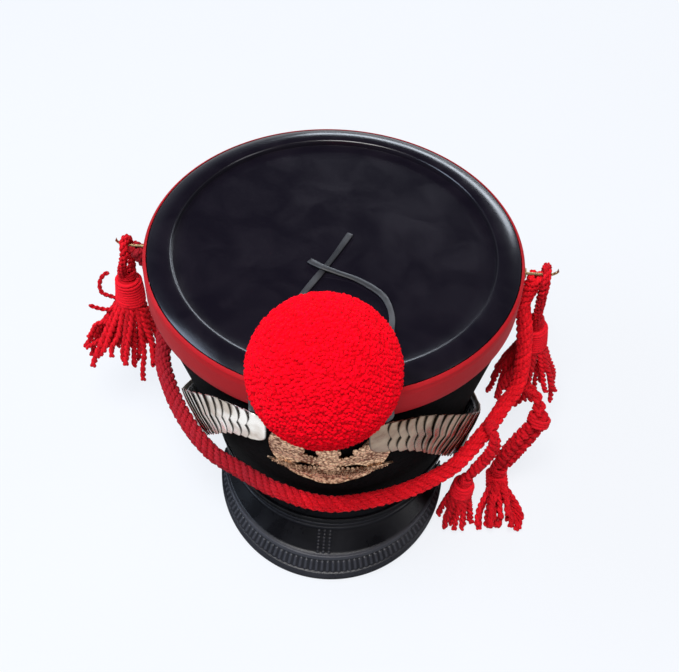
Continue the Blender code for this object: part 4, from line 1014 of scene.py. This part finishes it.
def bead_places():
    """Stippling over the shoulders of the wings, and on the bolt."""
    places = []
    for row in range(int(PLATE_HEIGHT / BEAD_ROW) + 1):
        for column in range(-29, 30):
            x = (column + 0.5 * (row % 2)) * BEAD_PITCH
            y = row * BEAD_ROW
            u, v = x / PLATE_HALF_WIDTH, y / PLATE_HEIGHT
            wing = inside(WING, abs(u) * 1.05, v) and abs(u) > 0.16
            if inside(BOLT, u * 1.03, v) or (wing and v > 0.56):
                height = (0.60 if wing else 0.80) * PLATE_RELIEF
                size = random.uniform(0.95, 1.2) * MM
                turn = Matrix.Rotation(random.uniform(0, TURN), 4, "Z")
                places.append(Matrix.Translation((x, y, height)) @ turn @ Matrix.Scale(size, 4))
    return places


def plate_wrap(point):
    """From the flat drawing to the front of the felt."""
    height = PLATE_FOOT + point.y
    half_width, _, middle, _ = at_height(height, 0)
    angle = math.asin((PLATE_CENTRE + point.x - middle) / half_width)
    return wall(angle, height) + wall_normal(angle, height) * (PLATE_STANDOFF + point.z)


def cast_plate(material):
    """The plate: a spread bird on a bolt over a fringe, laid out flat and then bent to the felt."""
    other_wing = [(-u, v) for u, v in reversed(WING)]
    forms = [(WING, 0.42, 0.15), (other_wing, 0.42, 0.15), (BREAST, 0.84, 0.35), (BOLT, 0.81, 0.3),
             (TAIL, 0.40, 0.12), (FRINGE, 0.28, 0.12)]
    pieces = [sheet_form(outline, height * PLATE_RELIEF, chamfer * PLATE_RELIEF)
              for outline, height, chamfer in forms]
    pieces.append(repeated(blade(), "feathers", feather_places()))
    pieces.append(repeated(bead(), "stipples", bead_places()))
    piece = joined(pieces)
    modify(piece, "TRIANGULATE")
    for vert in piece.data.vertices:
        vert.co = plate_wrap(vert.co)
    set_down(piece, "cast_plate", cap_place, 35.0, material, "gilt_metal", "plate")


def wool_pompom(material):
    """A ball of clipped yarn ends: a dark heart with a tuft standing out at every yarn."""
    tuft = begin(bpy.ops.mesh.primitive_cone_add, vertices=6, radius1=0.55, radius2=1.0, depth=1.0,
                 location=(0, 0, 0.5))
    pick(tuft, lambda _, normal: normal.z > 0.9, "FACE")
    raise_up(0.12)
    bpy.ops.transform.resize(value=(0.72, 0.72, 1), center_override=(0, 0, 1.12))
    bpy.ops.mesh.poke(offset=0.05)
    pick(tuft, lambda _, normal: normal.z < -0.9, "FACE")
    bpy.ops.mesh.delete(type="FACE")
    places, shades = [], []
    for index in range(POMPOM_TUFTS):
        height = 1 - 2 * (index + 0.5) / POMPOM_TUFTS
        turn = index * POMPOM_TURN
        level = math.sqrt(1 - height * height)
        out = Vector((level * math.cos(turn), level * math.sin(turn), height))
        lean = Vector([random.gauss(0, 0.10) for _ in range(3)])
        reach = POMPOM_RADIUS - 8.2 * MM + random.uniform(-0.7, 0.4) * MM
        width = random.uniform(1.15, 1.48) * MM
        spin = Matrix.Rotation(random.uniform(0, TURN), 4, "Z")
        facing = (out + lean).normalized().to_track_quat("Z", "Y").to_matrix().to_4x4()
        places.append(Matrix.Translation(POMPOM_SPOT + out * reach) @ facing @ spin
                      @ Matrix.Diagonal((width, width, TUFT_LENGTH, 1)))
        shades.append(random.uniform(0.2, 0.8))
    tufts = repeated(tuft, "tufts", places, shades)
    heart = begin(bpy.ops.mesh.primitive_ico_sphere_add, subdivisions=5, radius=POMPOM_RADIUS - 4.2 * MM)
    bpy.ops.mesh.vertices_smooth(factor=0.5)
    set_down(heart, "heart", Matrix.Translation(POMPOM_SPOT))
    set_down(joined([tufts, heart]), "wool_pompom", cap_place, 50.0, material, "red_wool", "pompom")


def scale_pattern(rounded=False):
    """One metal scale, as wide as two units and a pitch long, with two lobes along its free edge."""
    piece = begin(bpy.ops.mesh.primitive_grid_add, x_subdivisions=20, y_subdivisions=5, size=2)
    leave_edit()
    rim = piece.data.attributes.new("rim", "FLOAT", "POINT")
    for vert in piece.data.vertices:
        u = vert.co.x
        v = (0.0, 0.35, 0.68, 0.82, 0.93, 1.0)[round((vert.co.y + 1) * 2.5)]
        lobes = 1 - (2 * abs(u) - 1) ** 2
        edge = 1.9 * math.sqrt(max(0.0, 1 - u ** 4)) - 0.4 if rounded else 0.40 * lobes
        vert.co.y = SCALE_PITCH * (-0.45 + v * (1.35 + edge))
        rolled = 0.45 * MM if v > 0.99 else 0
        vert.co.z = SCALE_CROWN * (1 - u * u) + 0.32 * MM * lobes * v + (0.3 + 1.25 * v) * MM - rolled
        # The free edge is marked for painted shade, the dark line between overlapping scales.
        rim.data[vert.index].value = float(v > 0.99)
    modify(piece, "SOLIDIFY", thickness=0.55 * MM, offset=-1.0)
    return piece


def chin_scales(side, name, material):
    """Scales copied along a strap, each over the next, the last one rounded."""
    places, shades = [], []
    for share in strap_shares(side)[:-1]:
        middle, forward, outward, across = strap_frame(side, share)
        half_width = SCALE_HALF_WIDTH * read_off(SCALE_WIDTHS, share)
        sideways = (forward * (side * read_off(SCALE_SLANTS, share)) - across) * half_width
        growth = read_off(SCALE_PITCHES, share) / SCALE_PITCH
        tip = (forward + outward * random.uniform(-0.03, 0.05)) * growth
        places.append(axes_place(sideways, tip, outward, middle))
        shades.append(random.uniform(0.2, 0.8))
    scales = repeated(scale_pattern(), "scales", places[:-1], shades[:-1])
    last = repeated(scale_pattern(rounded=True), "last_scale", places[-1:], shades[-1:])
    set_down(joined([scales, last]), f"scales_{name}", cap_place, 40.0, material, "white_metal",
             f"chin_scales_{name}")


def boss(side, name, material):
    """A round boss: a rolled rim, a fluted collar of beads and a domed middle."""
    profile = [(0.94, 0.0), (0.985, 0.04), (1.0, 0.12), (0.99, 0.24), (0.94, 0.34), (0.88, 0.33),
               (0.85, 0.27), (0.72, 0.27), (0.69, 0.34), (0.66, 0.46), (0.58, 0.66), (0.44, 0.85),
               (0.28, 0.96), (0.12, 1.0), (0.02, 1.0)]
    piece = round_turned([(BOSS_RADIUS * out, BOSS_HEIGHT * up) for out, up in profile], 64, poles=True)
    pattern = begin(bpy.ops.mesh.primitive_ico_sphere_add, subdivisions=2, radius=1)
    bpy.ops.transform.resize(value=(1, 1, 0.7), center_override=(0, 0, 0))
    seat = Matrix.Translation((BOSS_RADIUS * 0.785, 0, BOSS_HEIGHT * 0.29)) @ Matrix.Scale(1.1 * MM, 4)
    places = [Matrix.Rotation(TURN * index / BOSS_BEADS, 4, "Z") @ seat for index in range(BOSS_BEADS)]
    piece = joined([piece, repeated(pattern, "boss_beads", places)])
    middle, forward, outward, across = strap_frame(side, 0.0)
    foot = middle + outward * (SCALE_THICKNESS + 0.65 * MM + SCALE_CROWN + GAP)
    place = axes_place(-across, forward, outward, foot)
    set_down(piece, f"round_boss_{name}", cap_place @ place, 40.0, material, "white_metal", f"boss_{name}")


# Finishes
class Graph:
    """A node tree with short calls for the nodes used here."""

    def __init__(self, tree):
        self.tree = tree

    def give(self, socket, value):
        """Sets a socket to a value or joins it to another node's output."""
        if isinstance(value, bpy.types.NodeSocket):
            self.tree.links.new(value, socket)
        else:
            socket.default_value = value

    def node(self, kind, settings=(), **sockets):
        """A node with its settings and sockets, a numbered socket given as _0 and so on."""
        made = self.tree.nodes.new("ShaderNode" + kind)
        for name, value in dict(settings).items():
            setattr(made, name, value)
        for name, value in sockets.items():
            self.give(made.inputs[int(name[1:]) if name[1:].isdigit() else name.replace("_", " ")], value)
        return made

    def maths(self, operation, first, second):
        return self.node("Math", {"operation": operation}, _0=first, _1=second).outputs[0]

    def plus(self, first, second):
        return self.maths("ADD", first, second)

    def times(self, first, second):
        return self.maths("MULTIPLY", first, second)

    def blend(self, share, low, high):
        return self.node("Mix", {"data_type": "RGBA"}, _0=share, _6=low, _7=high).outputs[2]

    def ramp(self, value, low, high, to_low=0.0, to_high=1.0):
        """A value stretched from one range to another, clamped."""
        return self.node("MapRange", Value=value, From_Min=low, From_Max=high, To_Min=to_low,
                         To_Max=to_high).outputs["Result"]

    def noise(self, vector, scale, **more):
        return self.node("TexNoise", Vector=vector, Scale=scale, **more).outputs["Fac"]

    def stored(self, name):
        return self.node("Attribute", {"attribute_name": name}).outputs["Fac"]

    def spot(self):
        return self.node("TexCoord").outputs["Object"]

    def spot_x(self):
        return self.node("SeparateXYZ", Vector=self.spot()).outputs["X"]


def start_group(name, inputs, outputs):
    """A node group with its sockets, its inputs to take from and its outputs to give to."""
    tree = bpy.data.node_groups.new(name, "ShaderNodeTree")
    for way, labels in (("INPUT", inputs), ("OUTPUT", outputs)):
        for label in labels:
            kind = "NodeSocket" + SOCKET_KINDS.get(label, "Float")
            tree.interface.new_socket(label, in_out=way, socket_type=kind)
    return Graph(tree), tree.nodes.new("NodeGroupInput").outputs, tree.nodes.new("NodeGroupOutput").inputs


def fibre_group():
    """Wool: soft mottling and fine fibres, with painted shade darkening the hollows, lighter by each yarn's
    own shade.
    """
    sockets = ("Vector", "Scale", "Colour", "Hollow", "Shade")
    graph, given, result = start_group("wool_fibres", sockets, ("Colour", "Height"))
    vector, scale = given["Vector"], given["Scale"]
    mottle = graph.ramp(graph.noise(vector, scale, Detail=3.0), 0.3, 0.7)
    fine = graph.noise(vector, graph.times(scale, 4.0), Detail=4.0, Roughness=0.65)
    height = graph.plus(graph.times(mottle, 0.5), graph.times(fine, 0.5))
    # Painted shade: where the fibre relief is low the colour turns to the Hollow colour.
    share = graph.plus(graph.times(height, 0.65), graph.times(given["Shade"], 0.55))
    colour = graph.blend(graph.ramp(share, 0.15, 0.85), given["Hollow"], given["Colour"])
    graph.give(result["Colour"], colour)
    graph.give(result["Height"], height)
    return graph.tree


def grain_group():
    """Leather: pebbled grain, long soft creases and lighter patches of wear."""
    sockets = ("Vector", "Scale", "Colour", "Worn", "Wear", "Dullness")
    graph, given, result = start_group("leather_grain", sockets, ("Colour", "Roughness", "Height"))
    vector, scale = given["Vector"], given["Scale"]
    cells = graph.node("TexVoronoi", {"feature": "SMOOTH_F1"}, Vector=vector, Scale=scale).outputs["Distance"]
    broad = graph.noise(vector, graph.times(scale, 0.04), Detail=5.0, Distortion=0.6)
    fine = graph.noise(vector, graph.times(scale, 0.5), Detail=3.0)
    worn = graph.times(graph.ramp(broad, 0.42, 0.68), given["Wear"])
    graph.give(result["Colour"], graph.blend(worn, given["Colour"], given["Worn"]))
    rough = graph.plus(graph.ramp(broad, 0.3, 0.7, -0.03, 0.06), graph.times(fine, 0.06))
    graph.give(result["Roughness"], graph.plus(rough, given["Dullness"]))
    pebbles = graph.ramp(cells, 0.0, 0.9, 1.0, 0.0)
    graph.give(result["Height"], graph.plus(graph.times(pebbles, 0.45), graph.times(fine, 0.4)))
    return graph.tree


def metal_group():
    """Metal: fine brushing, punched stipples, and tarnish in hollows and soft patches."""
    sockets = ("Vector", "Scale", "Colour", "Tarnish", "Amount", "Stipple", "Stipple Scale")
    graph, given, result = start_group("metal_wear", sockets, ("Colour", "Roughness", "Height"))
    vector, scale = given["Vector"], given["Scale"]
    punched = graph.node("TexVoronoi", {"feature": "F1"}, Vector=vector, Scale=given["Stipple Scale"])
    hollow = graph.times(graph.ramp(punched.outputs["Distance"], 0.30, 0.75), given["Stipple"])
    stretched = graph.node("Mapping", Vector=vector, Scale=(1.0, 1.0, 6.0)).outputs[0]
    brush = graph.noise(stretched, scale, Detail=5.0, Roughness=0.6)
    cloud = graph.noise(vector, graph.times(scale, 0.12), Detail=4.0)
    patches = graph.times(graph.ramp(cloud, 0.42, 0.62), given["Amount"])
    patches = graph.maths("MINIMUM", graph.plus(patches, hollow), 1.0)
    graph.give(result["Colour"], graph.blend(patches, given["Colour"], given["Tarnish"]))
    rough = graph.plus(graph.ramp(brush, 0.3, 0.7, 0.20, 0.34), graph.times(patches, 0.25))
    graph.give(result["Roughness"], rough)
    graph.give(result["Height"], graph.maths("SUBTRACT", graph.times(brush, 0.25), hollow))
    return graph.tree


fibres = fibre_group()
grain = grain_group()
metal = metal_group()


def start_material(name, **shader_values):
    """A material with its shader's uniform values set on the shader."""
    material = bpy.data.materials.new(name)
    material.use_nodes = True
    shader = material.node_tree.nodes["Principled BSDF"]
    for socket, value in shader_values.items():
        shader.inputs[socket.replace("_", " ")].default_value = value
    return material, Graph(material.node_tree), shader.inputs


def finish_with(graph, shader, group, vector, strength, distance, **values):
    """Places a finish group and joins its colour, roughness and height to the shader."""
    made = graph.node("Group", {"node_tree": group}, Vector=vector, **values)
    graph.give(shader["Base Color"], made.outputs["Colour"])
    if "Roughness" in made.outputs:
        graph.give(shader["Roughness"], made.outputs["Roughness"])
    bump = graph.node("Bump", Height=made.outputs["Height"], Strength=strength, Distance=distance)
    graph.give(shader["Normal"], bump.outputs[0])
    return made


def wool_material(name, colour, hollow, scale, along_yarn=False, painted_shade_colour=None, **shader_values):
    """Wool yarn or pile; a dimmer colour may take over towards -X as painted shade, as the photograph shows
    the swag.
    """
    material, graph, shader = start_material(name, **shader_values)
    vector = graph.spot()
    if along_yarn:
        uv = graph.node("TexCoord").outputs["UV"]
        vector = graph.node("Mapping", Vector=uv, Scale=(5.0, 900.0, 1.0)).outputs[0]
    made = finish_with(graph, shader, fibres, vector, strength=0.55, distance=0.6 * MM, Scale=scale,
                       Colour=colour, Hollow=hollow, Shade=graph.stored("shade"))
    if painted_shade_colour:
        # Painted shade: towards -X the colour turns to the dimmer one.
        out_of_painted_shade = graph.ramp(graph.spot_x(), -45 * MM, -5 * MM)
        graph.give(made.inputs["Colour"], graph.blend(out_of_painted_shade, painted_shade_colour, colour))
    return material


def leather_material(name, colour, worn, scale, wear, strength, dullness, **shader_values):
    material, graph, shader = start_material(name, **shader_values)
    made = finish_with(graph, shader, grain, graph.spot(), strength, 0.3 * MM, Scale=scale, Colour=colour,
                       Worn=worn, Wear=wear, Dullness=dullness)
    # Where a piece has "rim" values its colour turns lighter; on the peak this is painted highlight with
    # rubbed wear.
    graph.give(shader["Base Color"], graph.blend(graph.stored("rim"), made.outputs["Colour"], worn))
    return material


def metal_material(name, colour, tarnish, scale, amount, strength, stipple=0.0, stipple_scale=600.0):
    material, graph, shader = start_material(name, Metallic=1.0)
    finish_with(graph, shader, metal, graph.spot(), strength, 0.4 * MM, Scale=scale, Colour=colour,
                Tarnish=tarnish, Amount=amount, Stipple=stipple, Stipple_Scale=stipple_scale)
    return material


def scale_material(name, silver_colour, shaded_side_colour, edge_shade_colour, tarnish):
    """Metal scales with painted shade darkening their free edges, and a colour that goes from silvery towards
    -X to dark brown towards +X as painted light and shade, as in the photograph.
    """
    material, graph, shader = start_material(name, Metallic=1.0)
    # Painted light and shade: silvery towards -X, dark brown towards +X.
    worn = graph.ramp(graph.plus(graph.spot_x(), graph.times(graph.stored("shade"), 0.02)), -0.03, 0.03)
    made = finish_with(graph, shader, metal, graph.spot(), strength=0.3, distance=0.2 * MM, Scale=420.0,
                       Tarnish=tarnish, Amount=0.7, Stipple=0.0,
                       Colour=graph.blend(worn, silver_colour, shaded_side_colour))
    # Painted shade along each scale's free edge.
    graph.give(shader["Base Color"], graph.blend(graph.stored("rim"), made.outputs["Colour"], edge_shade_colour))
    return material


def pale_floor():
    """A sheet of pale paper that glows a little, so that it stays white to its edges."""
    floor = begin(bpy.ops.mesh.primitive_plane_add, size=8)
    bpy.ops.mesh.subdivide(number_cuts=7)
    set_down(floor, "pale_floor", Matrix.Identity(4))
    paper, graph, shader = start_material("pale_floor_paper", Roughness=0.9, Specular_IOR_Level=0.0,
                                          Emission_Strength=0.845)
    clouds = graph.noise(graph.spot(), 3.0, Detail=2.0)
    graph.give(shader["Base Color"], graph.blend(clouds, (0.098, 0.10, 0.104, 1), (0.102, 0.104, 0.108, 1)))
    graph.give(shader["Emission Color"], graph.blend(clouds, (0.925, 0.952, 0.998, 1), (0.93, 0.957, 1.0, 1)))
    floor.data.materials.append(paper)


def cords_and_tassels():
    red_cord = wool_material("red_cord_wool", (0.74, 0.009, 0.020, 1), (0.17, 0.002, 0.004, 1), 1.0, True,
                             **RED_WOOL)
    # The swag's third colour is painted shade that takes over towards -X.
    swag_cord = wool_material("swag_cord_wool", (0.92, 0.011, 0.022, 1), (0.36, 0.003, 0.008, 1), 1.0, True,
                              (0.30, 0.016, 0.026, 1), **RED_WOOL)
    tassels = {key: tassel(key, red_cord) for key in TASSELS}
    rope("swag_rope", (swag_cord, "red_cord", "cord_swag"), SWAG_ROUTE, 1.15 * MM, SWAG_ROPE, SWAG_DIAMETER,
         far_end="object")
    for side, route in LOOP_ROUTES.items():
        rope(f"loop_rope_{side}", (red_cord, "red_cord", f"loop_{side}"), route, 0.9 * MM, LOOP_ROPE,
             LOOP_DIAMETER, far_end="fitting", with_pieces=[tassels[side]])
    for letter in DROPS:
        drop(letter, red_cord, tassels[letter])


def main():
    random.seed(7)
    set_camera()
    light_studio()
    cords_and_tassels()
    thong = leather_material("thong_leather", (0.010, 0.010, 0.012, 1), (0.07, 0.07, 0.075, 1), 700.0,
                             wear=0.8, strength=0.35, dullness=0.42)
    felt = wool_material("black_felt_nap", (0.007, 0.005, 0.006, 1), (0.001, 0.001, 0.001, 1), 260.0,
                         Roughness=0.95, Sheen_Weight=0.01, Sheen_Roughness=0.5, Specular_IOR_Level=0.02)
    crown = leather_material("crown_leather_satin", (0.004, 0.003, 0.006, 1), (0.008, 0.006, 0.010, 1), 900.0,
                             wear=0.6, strength=0.04, dullness=0.17, Specular_IOR_Level=0.36)
    # Its lighter colour also serves the peak's raised tooling as painted highlight with rubbed wear.
    tooled = leather_material("tooled_leather", (0.003, 0.003, 0.004, 1), (0.050, 0.052, 0.062, 1), 700.0,
                              wear=0.12, strength=0.10, dullness=0.24, Specular_IOR_Level=0.145)
    red_leather = leather_material("red_band_leather", (0.33, 0.009, 0.013, 1), (0.42, 0.018, 0.024, 1),
                                   420.0, wear=0.7, strength=0.5, dullness=0.55, Specular_IOR_Level=0.05)
    silver = scale_material("silvered_scales", (0.98, 0.94, 0.87, 1), (0.19, 0.10, 0.055, 1),
                            (0.02, 0.016, 0.012, 1), (0.46, 0.36, 0.26, 1))
    gilt = metal_material("gilt_plate", (0.90, 0.58, 0.36, 1), (0.16, 0.055, 0.025, 1), 520.0, amount=0.45,
                          strength=0.6, stipple=0.85, stipple_scale=520.0)
    brass = metal_material("brass_wire", (0.45, 0.32, 0.16, 1), (0.20, 0.12, 0.06, 1), 500.0, amount=0.5,
                           strength=0.25)
    pile = wool_material("red_pompom_pile", (0.90, 0.0015, 0.014, 1), (0.42, 0.001, 0.004, 1), 420.0,
                         Roughness=0.95, Sheen_Weight=0.04, Sheen_Roughness=0.4,
                         Sheen_Tint=(1.0, 0.3, 0.3, 1.0), Specular_IOR_Level=0.03)
    for side, name in SIDES:
        lace(side, name, thong)
    felt_wall(felt)
    crown_leather(crown)
    red_band(red_leather)
    rim_band(tooled)
    peak_leather(tooled)
    cast_plate(gilt)
    wool_pompom(pile)
    for side, name in SIDES:
        chin_scales(side, name, silver)
        boss(side, name, silver)
        give_material(frame["nodes"][f"chin_strap_{name}"], tooled)
        give_material(frame["nodes"][f"hook_{name}"], brass)
    give_material(frame["nodes"]["pompom_stem"], brass)
    pale_floor()


main()
